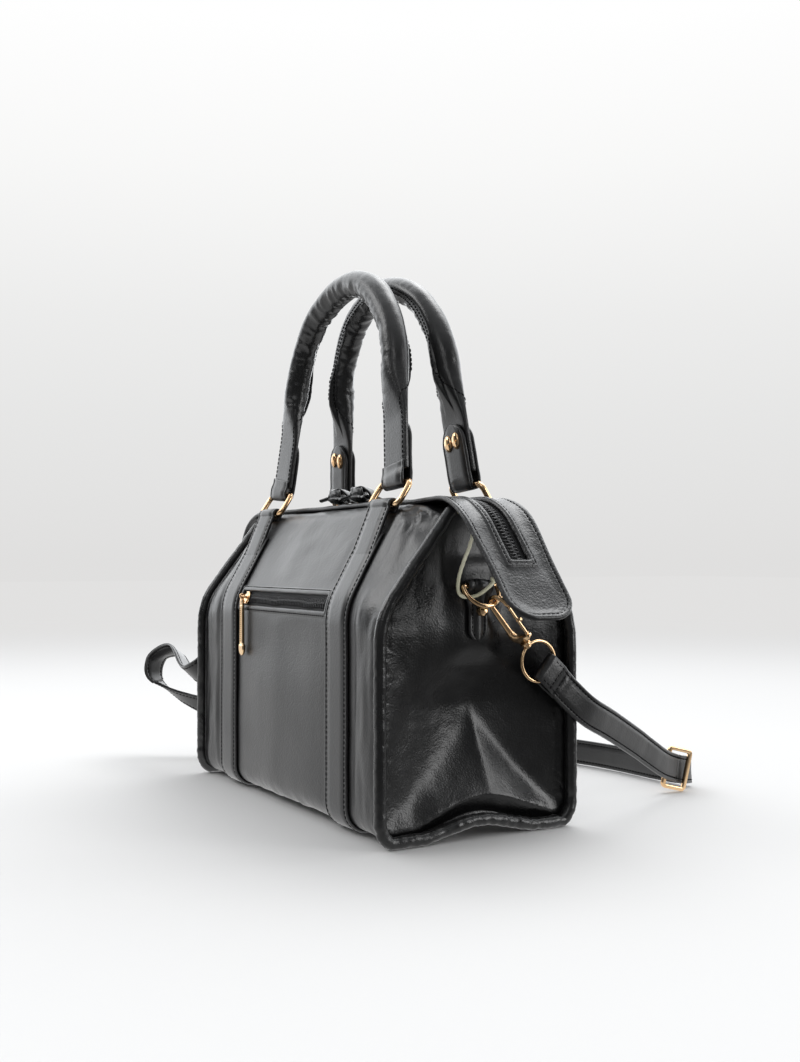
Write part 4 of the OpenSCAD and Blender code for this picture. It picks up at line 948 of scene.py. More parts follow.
def woven(name, dark, light, rough):
    """Woven or coiled nylon from a dark to a light shade."""
    material, nodes, links, shader = surface(name, {"Roughness": rough})
    weave = node(nodes, "Group", node_tree=woven_group)
    shades = ramp(nodes, (0, dark), (1, light))
    relief = node(nodes, "Bump", {"Strength": 0.5, "Distance": 0.00015})
    wire(links, (weave, "Shade", shades, "Fac"), (shades, "Color", shader, "Base Color"),
         (weave, "Height", relief, "Height"), (relief, "Normal", shader, "Normal"))
    return material


zip_cloth = woven("zip_cloth", (0.010, 0.010, 0.011, 1), (0.026, 0.026, 0.028, 1), 0.8)
coil_nylon = woven("coil_nylon", (0.012, 0.012, 0.013, 1), (0.030, 0.030, 0.032, 1), 0.36)
tooth_pitch = 2.6
hook_line = np.array([(3.9, 0.1), (3.3, 0.75), (2.2, 1.0), (0.8, 1.08), (-0.45, 1.0), (-0.95, 0.62),
                      (-0.9, 0.15)])


def coil_points(starts, side, put):
    """Rounded hooks at places along the zip: put turns (run, across, height) into a place."""
    t = np.arange(7) * 2 * np.pi / 7
    way = unit(np.gradient(hook_line, axis=0))
    out = np.stack([way[:, 1], -way[:, 0]], -1)
    radius = np.array([0.42, 0.5, 0.5, 0.5, 0.55, 0.5, 0.3])
    section = hook_line[:, None] - out[:, None] * (radius[:, None] * np.sin(t))[..., None] * 0.85
    along = 1.05 * radius[:, None] * np.cos(t)[None]
    rings, faces = [], []
    for k, start in enumerate(starts):
        rings.append(put(start + along, side * section[..., 0], section[..., 1]))
        faces += tube_faces(7, 7, k * 49)
    return np.vstack([r.reshape(-1, 3) for r in rings]), faces


def tape_points(runs, side, put, near, far):
    """Both faces of the tape, from its edge under the coil to its outer edge."""
    cols = np.linspace(near, far, 9)
    run, y = np.meshgrid(runs, cols, indexing="ij")
    height = -0.12 + 0.1 * np.sin(run * 1.7) * (y < near + 1.5)
    return put(run, side * y, height), put(run, side * y, height - 0.62)


def zip_side(bag_part, name, side, put, starts, runs, cad_node, breadth=(1.5, 9.4)):
    """One side of a zip: its coil, and the tape that the coil is sewn to."""
    points, faces = coil_points(starts, side, put)
    new_piece(f"{bag_part}_coil_{name}", points, faces, coil_nylon, "bag", [cad_node])
    top, low = tape_points(runs, side, put, *breadth)
    two_faced(f"{bag_part}_tape_{name}", top, low, np.zeros(top.shape[:2], bool),
              np.ones((len(runs) - 1, 8), bool), zip_cloth, "bag")


for side, name, shift in ((-1, "front", 0.0), (1, "rear", tooth_pitch / 2)):
    starts = np.arange(-slot_end + 1.2 + shift, slot_end - 1.0, tooth_pitch)
    zip_side("zip", name, side, on_zip, starts, np.linspace(-slot_end - 1, slot_end + 1, 230),
             "zip_side_" + name)

# Gold fittings
# Rings, studs, sliders and buckle are cast or bent from metal with a pale gold plating,
# polished, with the slight haze and fine scratches of handling.
haze_group, given, result = new_group("plating_haze", [("Scale", 60)], ["Haze", "Tint", "Scratch"])
nodes, links = haze_group.nodes, haze_group.links
place = node(nodes, "TexCoord")
cloud = node(nodes, "TexNoise", {"Detail": 5})
tint = node(nodes, "TexNoise", {"Scale": 22})
squeeze = node(nodes, "Mapping", {"Scale": (1400, 1400, 90)})
scratch = node(nodes, "TexNoise", {"Scale": 1, "Detail": 2})
wire(links, (place, "Object", cloud, "Vector"), (given, "Scale", cloud, "Scale"),
     (place, "Object", tint, "Vector"), (place, "Object", squeeze, "Vector"),
     (squeeze, "Vector", scratch, "Vector"), (cloud, "Fac", result, "Haze"),
     (tint, "Fac", result, "Tint"), (scratch, "Fac", result, "Scratch"))


def plated(name, deep, pale, rough):
    """Polished plating between a deep and a pale tint."""
    material, nodes, links, shader = surface(name, {"Metallic": 1})
    haze = node(nodes, "Group", node_tree=haze_group)
    colour = ramp(nodes, (0.3, deep), (0.7, pale))
    polish = node(nodes, "MapRange", {"From Min": 0.3, "From Max": 0.7, "To Min": rough * 0.7,
                                      "To Max": rough * 1.4})
    relief = node(nodes, "Bump", {"Strength": 0.08, "Distance": 0.0001})
    wire(links, (haze, "Tint", colour, "Fac"), (colour, "Color", shader, "Base Color"),
         (haze, "Haze", polish, "Value"), (polish, "Result", shader, "Roughness"),
         (haze, "Scratch", relief, "Height"), (relief, "Normal", shader, "Normal"))
    return material


pale_gold = plated("pale_gold", (0.74, 0.46, 0.24, 1), (0.90, 0.64, 0.38, 1), 0.17)

# Handles
# Each grip is a strip of soft leather rolled round a cord core. Its two edges meet in a
# sewn fin on the side that faces the other handle, and open out flat at both ends.
grip_d, grip_flat_w, grip_flat_t = 18.5, 28, 4.2
arch_r, arch_z = 77, 71
handle_y, handle_z, handle_lean = 26.627, 221.294, math.radians(4.5)
splay = math.atan2(strap_at, arch_z) + math.acos(arch_r / math.hypot(strap_at, arch_z)) - math.pi / 2


def on_handle(points, front):
    """Places drawn upright over the handle's ring bars, leaned and set on the bag."""
    x, v, z = points[..., 0], points[..., 1], points[..., 2]
    y = handle_y + v * math.cos(handle_lean) - z * math.sin(handle_lean)
    up = handle_z + v * math.sin(handle_lean) + z * math.cos(handle_lean)
    return np.stack([x, -y if front else y, up], -1)


leg_top = np.array((arch_r * math.cos(splay), arch_z + arch_r * math.sin(splay)))
leg_long = math.hypot(strap_at - leg_top[0], leg_top[1])
leg_runs = np.linspace(6.7, leg_long, 60)[:-1]
leg = [(strap_at - r * math.sin(splay), r * math.cos(splay), splay, float(smooth((r - 40) / 44)), r)
       for r in leg_runs]
turns = np.linspace(splay, math.pi - splay, 170)
arch = [(arch_r * math.cos(t), arch_z + arch_r * math.sin(t), t, 1.0, leg_long + arch_r * (t - splay))
        for t in turns]
whole = leg_long + arch_r * (math.pi - 2 * splay)
other = [(-x, z, math.pi - a, k, whole + leg_long - r) for x, z, a, k, r in leg[::-1]]
grip_line = np.array(leg + arch + other)
fin_at = [-103, -98.4, -97.6, -94, -90, -86, -82.4, -81.6, -77]
grip_turn = np.radians(np.sort(np.r_[np.linspace(-70, 250, 42), fin_at]))
fin_out = np.interp(np.degrees(grip_turn), [-98.41, -98.39, -97.6, -94, -90, -86, -82.4, -81.61, -81.59],
                    [0, 0, 2.9, 3.4, 3.5, 3.4, 2.9, 0.0, 0])


def grip_section(line, turn):
    """Places (outwards from the arch, out of its plane) round the grip at one station."""
    k = line[:, 3:4]
    w = (grip_flat_w + (grip_d - grip_flat_w) * k) / 2
    h = (grip_flat_t + (grip_d - grip_flat_t) * k) / 2
    power = 0.35 + 0.65 * k
    c, s = np.cos(turn)[None], np.sin(turn)[None]
    return w * np.sign(c) * np.abs(c) ** power, h * np.sign(s) * np.abs(s) ** power


def grip_points(seed):
    """The grip with its lumps, folds and sewn fin, still upright."""
    u, v = grip_section(grip_line, grip_turn)
    k, run = grip_line[:, 3:4], grip_line[:, 4:5]
    around = np.stack([run + 0 * u, u, v], -1).reshape(-1, 3)
    lumps = 0.9 * ripple(around * (0.6, 1, 1), 26, seed).reshape(u.shape)
    folds = -np.abs(ripple(around * (1.3, 0.6, 0.6), 12, seed + 1)).reshape(u.shape)
    fine = 0.12 * ripple(around * (1.4, 0.8, 0.8), 5, seed + 2).reshape(u.shape)
    inside = smooth(0.5 - np.cos(grip_turn)[None] * 0.8)
    size = np.hypot(u, v) + 1e-6
    push = k * (lumps + folds * (0.15 + 1.9 * inside ** 2) + fine + 0.3) + (1 - k) * 0.1 * fine
    u, v = u * (1 + push / size), v * (1 + push / size)
    high = smooth((grip_line[:, 1:2] - arch_z) / (0.5 * arch_r))
    fin = fin_out[None] * smooth((k - 0.05) / 0.9) * (1 - 0.55 * high)
    v = v - fin
    sway = ripple(np.outer(grip_line[:, 4], (1, 0, 0)), 42, seed + 5)
    sway = (sway * grip_line[:, 3])[:, None]
    a = grip_line[:, 2:3]
    v = np.maximum(v + 0.6 * sway * (1 - high), -(grip_d / 2 + 6 - 6.4 * high))
    return np.stack([grip_line[:, :1] + (u + sway) * np.cos(a), v,
                     grip_line[:, 1:2] + (u + sway) * np.sin(a)], -1)


def fin_seam(points):
    """Stitch lines: along the fin's two sides, and out to the strip's edges where it is flat."""
    lines = []
    for outer in (1, -1):
        found, outward = [], []
        centre = points.mean(1)
        for i, k in enumerate(grip_line[:, 3]):
            want = math.radians(57 - 139 * float(smooth((k - 0.05) / 0.9)))
            if outer < 0:
                want = math.pi - want
            want = (want + math.radians(110)) % (2 * math.pi) - math.radians(110)
            j = int(np.argmin(np.abs(grip_turn - want)))
            found.append(points[i, j])
            outward.append(points[i, j] - centre[i])
        found, outward = np.array(found), np.array(outward)
        outward[:, 1] *= 0.4
        lines.append((found + unit(outward) * 0.15, outward))
    return lines


for front, name in ((True, "front"), (False, "back")):
    points = grip_points(41 if front else 47)
    placed = on_handle(points, front)
    faces = tube_faces(len(grip_line), len(grip_turn))
    grip = new_piece("grip_leather_" + name, placed, faces, soft_leather, "handle_" + name,
                     ["grip_" + name])
    lines = []
    for spots, outward in fin_seam(points):
        here = on_handle(spots, front)
        lines.append((here, on_handle(spots + outward, front) - here))
    stitches("grip_stitches_" + name, lines, "handle_" + name)

# Handle tabs
# A strap folded round the upper bar of the ring holds the flat end of the grip between
# its two leaves, sewn along the edges and pinned with two domed studs.
tab_w, tab_t = 27.6, 2.1
sleeve_r = 2.1 + tab_t / 2 + 0.05


def tab_line(outer_long):
    """The tab's line over the ring's bar, as (out, up), from the inner leaf to the outer."""
    leaf = 2.4 + tab_t / 2
    inner = [(-leaf, z) for z in np.linspace(42, 4.5, 26)]
    around = [(sleeve_r * math.cos(t), sleeve_r * math.sin(t))
              for t in np.linspace(math.radians(196), math.radians(344), 16)]
    outer = [(leaf, z) for z in np.linspace(4.5, outer_long, max(5, int(outer_long / 1.5)))]
    return np.array(inner + around + outer)


for front, name in ((True, "front"), (False, "back")):
    outer_long = 12 if front else 42
    for side, end in ((1, "right"), (-1, "left")):
        line = even_path(tab_line(outer_long), 1.1)
        lean = -side * splay * smooth(np.abs(line[:, 1]) / 7)
        flat = np.column_stack([np.full(len(line), side * float(strap_at)), line[:, 0],
                                line[:, 1] * np.cos(lean)])
        flat[:, 0] += line[:, 1] * np.sin(lean)
        wide = np.column_stack([np.cos(lean), np.zeros(len(line)), -np.sin(lean)])
        pared = smooth((line[:, 1] - 2) / 7) * (line[:, 0] > 0) * front
        flat[:, 1] -= 0.85 * pared
        run = run_along(line)
        left = run if front else np.minimum(run, run[-1] - run)
        narrow = np.sqrt(np.clip(1 - (1 - np.clip(left / (tab_w / 2), 0, 1)) ** 2, 0.004, 1))
        section = strap_section(tab_w, tab_t, seam=2.4)
        points = band_points(flat, wide, section, narrow)
        off = frames_along(flat, wide)[2][:, None]
        depth = ((points - flat[:, None]) * off).sum(-1, keepdims=True)
        points -= 0.5 * pared[:, None, None] * depth * off
        points[..., 1] += 0.25 * ripple(points.reshape(-1, 3), 12, 51 + side).reshape(points.shape[:2])
        faces = tube_faces(len(line), len(section))
        new_piece(f"handle_tab_{name}_{end}", on_handle(points, front), faces, strap_leather,
                  "handle_" + name, [f"tab_{name}_{end}"])


# Handle rings
# Rectangles of round wire with round corners. Each stands in its ring loop, leaning
# inwards, and the handle tab turns over its upper bar.
def spin(points, axis, degrees):
    """Points turned about the X, Y or Z axis."""
    points = np.array(points, float)
    j, k = (axis + 1) % 3, (axis + 2) % 3
    c, s = math.cos(math.radians(degrees)), math.sin(math.radians(degrees))
    a, b = points[..., j].copy(), points[..., k].copy()
    points[..., j], points[..., k] = a * c - b * s, a * s + b * c
    return points


def stood_up(line):
    """A line drawn in (x, z), in the plane y = 0."""
    return np.column_stack([line[:, 0], 0 * line[:, 0], line[:, 1]])


def wire_loop(path, radius, across, sides=18, square=1.0):
    """A closed ring of wire; across is square to its plane, and square below 1 gives flats."""
    path = np.asarray(path, float)
    along = unit(np.roll(path, -1, 0) - np.roll(path, 1, 0))
    u = unit(np.broadcast_to(np.asarray(across, float), path.shape))
    v = np.cross(along, u)
    t = (np.arange(sides) + 0.5) * 2 * np.pi / sides
    c = np.sign(np.cos(t)) * np.abs(np.cos(t)) ** square
    s = np.sign(np.sin(t)) * np.abs(np.sin(t)) ** square
    points = path[:, None] + radius * (c[None, :, None] * u[:, None] + s[None, :, None] * v[:, None])
    i, j = np.indices(points.shape[:2])
    after, beside = (i + 1) % len(path), (j + 1) % sides
    faces = np.stack([i * sides + j, i * sides + beside, after * sides + beside, after * sides + j], -1)
    return points.reshape(-1, 3), faces.reshape(-1, 4).tolist()


def turned(profile, turns=32):
    """A piece turned about the Z axis from places (radius, height)."""
    profile = np.asarray(profile, float)
    t = np.arange(turns) * 2 * np.pi / turns
    r = np.maximum(profile[:, 0], 0.02)
    points = np.stack([r[:, None] * np.cos(t), r[:, None] * np.sin(t),
                       np.repeat(profile[:, 1:], turns, 1)], -1)
    return points.reshape(-1, 3), tube_faces(len(profile), turns)


def cast_plate(outline, half_depth, bevel):
    """A flat cast piece whose outline is drawn in (x, z), with bevelled rims."""
    outline = np.asarray(outline, float)
    way = unit(np.roll(outline, -1, 0) - np.roll(outline, 1, 0))
    area = (outline[:, 0] * np.roll(outline[:, 1], -1) - outline[:, 1] * np.roll(outline[:, 0], -1)).sum()
    inward = np.stack([-way[:, 1], way[:, 0]], -1) * math.copysign(1, area)
    rows = []
    for y, shrink in ((-half_depth, bevel), (-half_depth + bevel, 0), (half_depth - bevel, 0),
                      (half_depth, bevel)):
        line = outline + inward * shrink
        rows.append(np.column_stack([line[:, 0], np.full(len(line), y), line[:, 1]]))
    return np.vstack(rows), tube_faces(4, len(outline))


def bent_box(half_x, low, high, bend, steps=9):
    """A rectangle with round corners, in (x, z)."""
    corners = ((half_x - bend, high - bend, 0), (bend - half_x, high - bend, 90),
               (bend - half_x, low + bend, 180), (half_x - bend, low + bend, 270))
    line = np.vstack([arc_points((x, z), bend, np.linspace(a, a + 90, steps)) for x, z, a in corners])
    return stood_up(line)


ring_lean = 33
for side, front in ((-1, "front"), (1, "back")):
    for x, end in ((strap_at, "right"), (-strap_at, "left")):
        points, faces = wire_loop(bent_box(19, 0, 18, 5), 2.0, (0, 1, 0))
        points = spin(points, 0, ring_lean) + (x, bar_y, bar_z)
        new_piece(f"ring_wire_{front}_{end}", points * (1, side, 1), faces, pale_gold,
                  f"ring_{front}_{end}", [f"ring_{front}_{end}"])

# Handle studs
# Tall oval domes with the same plating, two on the inner leaf of each handle tab,
# clenched through the flat end of the grip.
stud_apart, stud_in, stud_up, stud_tall = 4.8, 4.6, 29.6, 1.45
dome = turned([(3.95, -0.3), (4.0, 0.3), (3.9, 0.8), (3.5, 1.35), (2.9, 1.8), (2.1, 2.15), (1.2, 2.33),
               (0.4, 2.4), (0, 2.4)])
for front, name in ((True, "front"), (False, "back")):
    parts = []
    for way in (1, -1):
        for side in (-1, 1):
            points = spin(dome[0], 0, 90) * (1, 1, stud_tall) + (side * stud_apart, -stud_in, stud_up)
            points = spin(points, 1, -math.degrees(splay)) + (strap_at, 0, 0)
            parts.append((on_handle(points * (way, 1, 1), front), dome[1]))
    points, faces = joined(parts)
    new_piece("handle_studs_" + name, points, faces, pale_gold, "handle_" + name,
              ["studs_" + name])

# End fittings
# On each end of the bag a stitched leather tab holds a round ring, over a faceted stud.
# A trigger clasp hangs on the ring, and its swivel eye carries the folded strap end.
d_half, d_drop, d_lean = 12.4, 2.8, 35
clasp_turn, clasp_roll, fold_turn, eye_at = 40, 20, 8, 46.9
clasp_way = np.array((0, math.sin(math.radians(clasp_turn)), -math.cos(math.radians(clasp_turn))))
clasp_drop = d_drop + d_half * math.cos(math.radians(clasp_turn))
clasp_origin = side_bar + (0, d_half * clasp_way[1], 0) + clasp_drop * np.array(
    (math.sin(math.radians(d_lean)), 0, -math.cos(math.radians(d_lean)))) + 2.3 * clasp_way


def on_clasp(points, roll):
    """Places of a clasp drawn upright, rolled and hung on the right end ring."""
    return spin(spin(points, 2, roll), 0, clasp_turn - 180) + clasp_origin


def on_fold(points):
    """Places (away from the clasp, across the strap, off its middle) at the strap's folded end."""
    points = np.asarray(points, float)
    upright = np.stack([-points[..., 2], points[..., 1], points[..., 0]], -1)
    return on_clasp(spin(upright, 0, fold_turn) + (0, 0, eye_at), 0)


bow_r, bow_wire = 5.7, 1.7
eye_r, gate_tip, gate_hinge = 12.7, 3.15, 24.68
bow = np.vstack([[(-bow_r, 2.85), (-bow_r, 1.4)], arc_points((0, 0), bow_r, np.linspace(180, 360, 25)),
                 [(bow_r, z) for z in np.linspace(1.5, 24, 16)]])
bow = stood_up(bow)
bow_thick = np.interp(np.arange(len(bow)), [0, 1, 4, 26, 34, 42],
                      [0.9, 1.45, bow_wire, bow_wire, 1.95, 2.05])
sides = np.arange(24) * 2 * np.pi / 24
hook_leg = tube_points(bow, bow_thick, 24, np.repeat([[0.0, 1, 0]], len(bow), 0))
hook_leg = bow[:, None] + (hook_leg - bow[:, None]) * (1 + 0.07 * np.cos(4 * sides))[None, :, None]
hook_body = cast_plate([(7.5, 20.9), (7.5, 26.2), (6.3, 28.2), (2.2, 30.9), (-1.7, 31.1), (-5.9, 28.6),
                        (-7.3, 27.3), (-7.3, 26.0), (-5.0, 25.4), (-1.5, 25.8), (1.6, 25.2), (3.6, 23.4),
                        (3.9, 20.9)], 2.0, 0.45)
hook_neck = turned([(1.3, 30.6), (3.0, 30.6), (3.4, 30.95), (3.4, 31.5), (3.15, 31.7), (3.4, 31.9),
                    (3.4, 32.4), (3.0, 32.7), (1.3, 32.7)])
gate_rod = np.array([(-bow_r, 0, z) for z in np.linspace(gate_tip, gate_hinge, 20)])
gate_thick = np.interp(gate_rod[:, 2], [gate_tip, 3.8, 6, 14, 21, gate_hinge],
                       [0.75, 1.0, 1.02, 0.95, 1.02, 1.02])
gate_pin = spin(turned([(0.8, 0.4), (0.8, 2.2), (1.15, 2.4), (1.15, 2.9), (0.8, 3.06)], 16)[0], 1, -90)
gate_axle = spin(turned([(1.0, -1.7), (1.0, 1.7)], 16)[0], 0, 90)
eye_ring = wire_loop([(eye_r * math.cos(t), 0, eye_at + eye_r * math.sin(t))
                      for t in np.linspace(0, 2 * np.pi, 97)[:-1]], 1.2, (0, 1, 0))
eye_neck = turned([(1.2, 31.1), (1.2, 33.1), (2.1, 33.2), (2.4, 33.5), (2.4, 33.9), (1.9, 34.1),
                   (2.3, 34.4), (2.3, 34.8), (1.7, 35.1)])
half_bar = arc_points((d_half - 1.2, -1.2), 1.2, np.linspace(90, 0, 5))
bowl = arc_points((0, -d_drop), d_half, np.linspace(0, -180, 49))
ring_line = np.vstack([[(-6, 0), (0, 0), (6, 0)], half_bar, bowl, (half_bar * (-1, 1))[::-1]])
d_ring = wire_loop(np.column_stack([0 * ring_line[:, 0], ring_line]), 1.4, (1, 0, 0))
d_ring_points = spin(d_ring[0], 1, -d_lean) + side_bar
stud = turned([(2.4, 0), (2.0, 0.5), (1.5, 0.9), (1.7, 1.3), (3.35, 2.6), (3.52, 4.0), (2.9, 5.9),
               (1.2, 7.45), (0, 7.5)], 10)
stud_points = spin(stud[0], 1, 90) + (146, 0, 139.36)

# The tab: a strip that comes down behind the ring's bar, turns over it and is sewn down
side_tab_w, side_tab_tip, tab_seam_at = 18.6, 121, 4.6
tab_strip = np.vstack([[(144.1, 150.0), (144.1, 153)],
                       arc_points((146.7, 155), 2.65, np.linspace(180, -52, 22)),
                       [(147.0, 151.6), (145.6, 149.4), (145.05, 147)],
                       [(145.0, z) for z in np.linspace(145, side_tab_tip, 26)]])
tab_path = even_path(stood_up(tab_strip), 0.8)
above_tip = tab_path[:, 2] - side_tab_tip
tab_wide = np.where(tab_path[:, 2] > 150, side_tab_w, 14 + 4.6 * smooth((tab_path[:, 2] - 140) / 10))
round_end = np.sqrt(np.clip(1 - (1 - np.clip(above_tip / 7, 0, 1)) ** 2, 0.003, 1))
tab_section = strap_section(side_tab_w, 1.9, seam=4.4, dip=0.4, crown=0.55)
tab_points = band_points(tab_path, (0, 1, 0), tab_section, tab_wide / side_tab_w * round_end)
down = [(-tab_seam_at, z) for z in np.arange(146, 128, -1.0)]
under = [(tab_seam_at * math.sin(a), 128 - tab_seam_at * math.cos(a)) for a in np.linspace(-1.5, 1.5, 12)]
up = [(tab_seam_at, z) for z in np.arange(129, 147, 1.0)]
u_line = np.array([(146.25, y, z) for y, z in down + under + up])

# The strap's folded end: round the eye, its two leaves sewn together by two cross seams
fold_line = np.vstack([[(25.36, 1.25), (20.5, 1.5), (17.3, 2.55), (15, 2.7), (11, 2.7)],
                       arc_points((7.36, 0), 2.7, np.linspace(90, 270, 18)),
                       [(11, -2.7), (15, -2.7), (17.3, -2.55), (20.5, -1.5), (25.36, -1.25)]])
fold_path = even_path(stood_up(fold_line), 0.8)
sling_wide = 20
fold_section = strap_section(sling_wide, 2.25)
fold_points = band_points(fold_path, (0, 1, 0), fold_section)
fold_points[..., 2] += 0.2 * ripple(fold_points.reshape(-1, 3), 8, 61).reshape(fold_points.shape[:2])
seams = []
for off in (1, -1):
    for away, height in ((16.2, 3.75), (21.5, 2.55)):
        seams.append((on_fold([(away, y, off * height) for y in np.linspace(-8.6, 8.6, 20)]), off))
    for y in both_edges(sling_wide):
        away = np.linspace(9, 24.8, 20)
        height = off * np.interp(away, [9, 15, 17.3, 20.5, 25], [3.75, 3.75, 3.6, 2.6, 2.3])
        seams.append((on_fold(np.column_stack([away, 0 * away + y, height])), off))
fold_out = on_fold([(0, 0, 1), (0, 0, 0)])
fold_out = fold_out[0] - fold_out[1]

for turn_round, end in ((0, "right"), (180, "left")):
    def there(points):
        return spin(points, 2, turn_round)

    new_piece("end_ring_wire_" + end, there(d_ring_points), d_ring[1], pale_gold, "end_ring_" + end,
              ["d_ring_" + end])
    points, faces = joined([eye_ring, eye_neck])
    new_piece("clasp_eye_" + end + "_cast", there(on_clasp(points, 90)), faces, pale_gold,
              "end_ring_" + end, ["clasp_eye_" + end])
    points, faces = joined([(hook_leg, tube_faces(len(bow), 24)), hook_body, hook_neck])
    new_piece("clasp_hook_" + end + "_cast", there(on_clasp(points, 180 - clasp_roll)), faces, pale_gold,
              "hook_" + end, ["clasp_hook_" + end])
    points, faces = joined([(tube_points(gate_rod, gate_thick, 16), tube_faces(20, 16)),
                            (gate_pin + (-bow_r, 0, 13.9), tube_faces(5, 16)),
                            (gate_axle + (-bow_r, 0, gate_hinge), tube_faces(2, 16))])
    new_piece("clasp_gate_" + end + "_lever", there(on_clasp(points, 180 - clasp_roll)), faces, pale_gold,
              "gate_" + end, ["clasp_gate_" + end])
    faceted = new_piece("end_stud_" + end, there(stud_points), stud[1], pale_gold, "bag",
                        ["side_stud_" + end])
    faceted.data.shade_flat()
    new_piece("end_tab_" + end, there(tab_points), tube_faces(len(tab_path), len(tab_section)),
              strap_leather, "bag", ["side_tab_" + end])
    stitches("end_tab_stitches_" + end, [(there(u_line - (0.35, 0, 0)), there([(1.0, 0, 0)])[0])], "bag",
             2.6, 1.9)
    new_piece("strap_fold_" + end, there(on_fold(fold_points)),
              tube_faces(len(fold_path), len(fold_section)), strap_leather, "end_ring_" + end,
              ["strap_end_" + end])
    stitches("strap_fold_stitches_" + end, [(there(p), there(fold_out * face)) for p, face in seams],
             "end_ring_" + end, 3.0, 2.2)

# Shoulder strap
# One long leather strap, sewn along both edges. It lies on the ground on its edge behind
# the bag, and is doubled from the slide buckle to its left clasp.
sling_shares = np.array([(1.072, 1.16, 0.303, 0, 0.62, 0.78), (1.00, 1.52, 0.254, 0, 0.42, 0.9),
                         (0.88, 2.10, 0.165, 0, 0.28, 0.96), (0.775, 2.64, 0.075, 0, 0.16, 1),
                         (0.70, 2.985, 0.036, 0, 0.08, 1), (0.66, 3.21, 0.02, 0, 0, 1),
                         (0.62, 3.33, 0.012, 0, 0, 1), (0.57, 3.28, 0.006, 0, 0, 1),
                         (0.40, 3.24, 0.004, 0, 0, 1), (0.10, 3.22, 0.004, 0, 0, 1),
                         (-0.20, 3.12, 0.004, 0, 0, 1), (-0.60, 2.82, 0.004, 0, 0, 1),
                         (-0.98, 2.15, 0.01, 0, 0.05, 1), (-1.27, 1.20, 0.04, 0.1, 0.1, 1),
                         (-1.42, 0.25, 0.10, 0.3, -0.1, 0.95), (-1.60, -0.62, 0.17, 0.4, -0.5, 0.75),
                         (-1.80, -1.02, 0.26, 0.4, -0.8, 0.35), (-1.78, -1.05, 0.36, 0.35, -0.85, 0.2),
                         (-1.54, -0.96, 0.40, 0.1, -0.75, 0.6), (-1.24, -1.03, 0.33, 0, -0.72, 0.68),
                         (-1.11, -1.02, 0.338, 0, -0.69, 0.72)])
sling_start = on_fold([(25.66, 0, -1.3), (30.66, 0, -0.7)])
start_wide = on_fold([(0, 1, 0), (0, 0, 0)])
start_wide = start_wide[1] - start_wide[0]
places = np.vstack([sling_start, sling_shares[:, :3] * (body_half_l, half_d, body_h) + (0, 0, 10),
                    (sling_start * (-1, -1, 1))[::-1]])
breadths = np.vstack([[start_wide] * 2, sling_shares[:, 3:], [start_wide * (-1, -1, 1)] * 2])
sling = even_path(np.hstack([curve_through(places, 10), curve_through(breadths, 10)]), 2.4)
easy = 0.5 * smooth((46 - np.arange(2, len(sling) - 2)) / 10)[:, None]
for _ in range(26):
    sling[2:-2] += easy * ((sling[1:-3] + sling[3:-1]) / 2 - sling[2:-2])
buckle_centre = np.array((0.70 * body_half_l, 2.985 * half_d, 17.19))
at_buckle = int(np.argmin(np.linalg.norm(sling[:, :3] - buckle_centre, axis=1)))
left_from = int(np.argmin(np.linalg.norm(sling[:, :3] - places[18], axis=1)))
one_layer = strap_section(sling_wide, 2.2)
thin_layer = strap_section(sling_wide, 1.05, crown=0.1, dip=0.2)
tuck = sling[:1].copy()
tuck[0, :3] = on_fold([(19.5, 0, -1.5)])[0]
end_tuck = tuck.copy()
end_tuck[0, :3] *= (-1, -1, 1)
end_tuck[0, 3:] = sling[-1, 3:]


def sling_part(name, rows, layers, body=None):
    """One stretch of the strap, in one layer or two, with its edge stitches."""
    path, wide = rows[:, :3], rows[:, 3:]
    parts, lines = [], []
    for section, shift, face in layers:
        section = section * (1, face) + (0, shift)
        points = band_points(path, wide, section)
        along, u, v = frames_along(path, wide)
        wave = 0.35 * ripple(path, 23, 71 + shift) + 0.12 * ripple(path, 8, 72 + shift)
        points = points + (v * wave[:, None])[:, None]
        parts.append((points, tube_faces(len(path), len(section))))
        height = face * (np.abs(section[:, 1] - shift).max() - 0.16) + shift
        for at in both_edges(sling_wide):
            lines.append((path + u * at + v * (height + wave[:, None]), v * face))
    points, faces = joined(parts)
    points[:, 2] = np.maximum(points[:, 2], 0.1)
    piece = new_piece(name, points, faces, strap_leather, body, ["shoulder_strap"])
    seam = stitches(name + "_stitches", lines, body, 3.2, 2.3)
    return piece, seam


single = [(one_layer, 0, 1), (thin_layer * (1, 0.3), -0.9, -1)]
double = [(thin_layer, 0.62, 1), (thin_layer, -0.62, -1)]
near_side = sling_part("sling_near_end", np.vstack([tuck, sling[:at_buckle + 1]]), single)
far_side = sling_part("sling_far_end", np.vstack([sling[left_from:], end_tuck]), double)
sling_part("sling_middle", sling[at_buckle:left_from + 1], double, "bag")
for piece in near_side:
    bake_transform(piece)
for piece in far_side:
    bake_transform(piece)

# Slide buckle
# A flat frame of squared wire, which stands on edge where the doubled strap begins.
buckle_angle = math.degrees(math.atan2(0.565 * half_d, -0.098 * body_half_l)) - 28
points, faces = wire_loop(bent_box(9.1, -14.1, 14.1, 2.4), 1.6, (0, 1, 0), 20, 0.5)
points = spin(spin(points, 1, 14), 2, buckle_angle) + buckle_centre
new_piece("strap_buckle_frame", points, faces, pale_gold, "bag",
          ["strap_buckle"])

# Front pocket
# A horizontal opening with folded leather lips between the two straps, a black coil zip
# set back in it, and a bag of lining behind. Its slider has a long cast pull.
pocket_mid, face_r, bag_r = 16.5, 44, 42.2
lip_half, opening_half, lip_end = 9.9, 5.34, 75


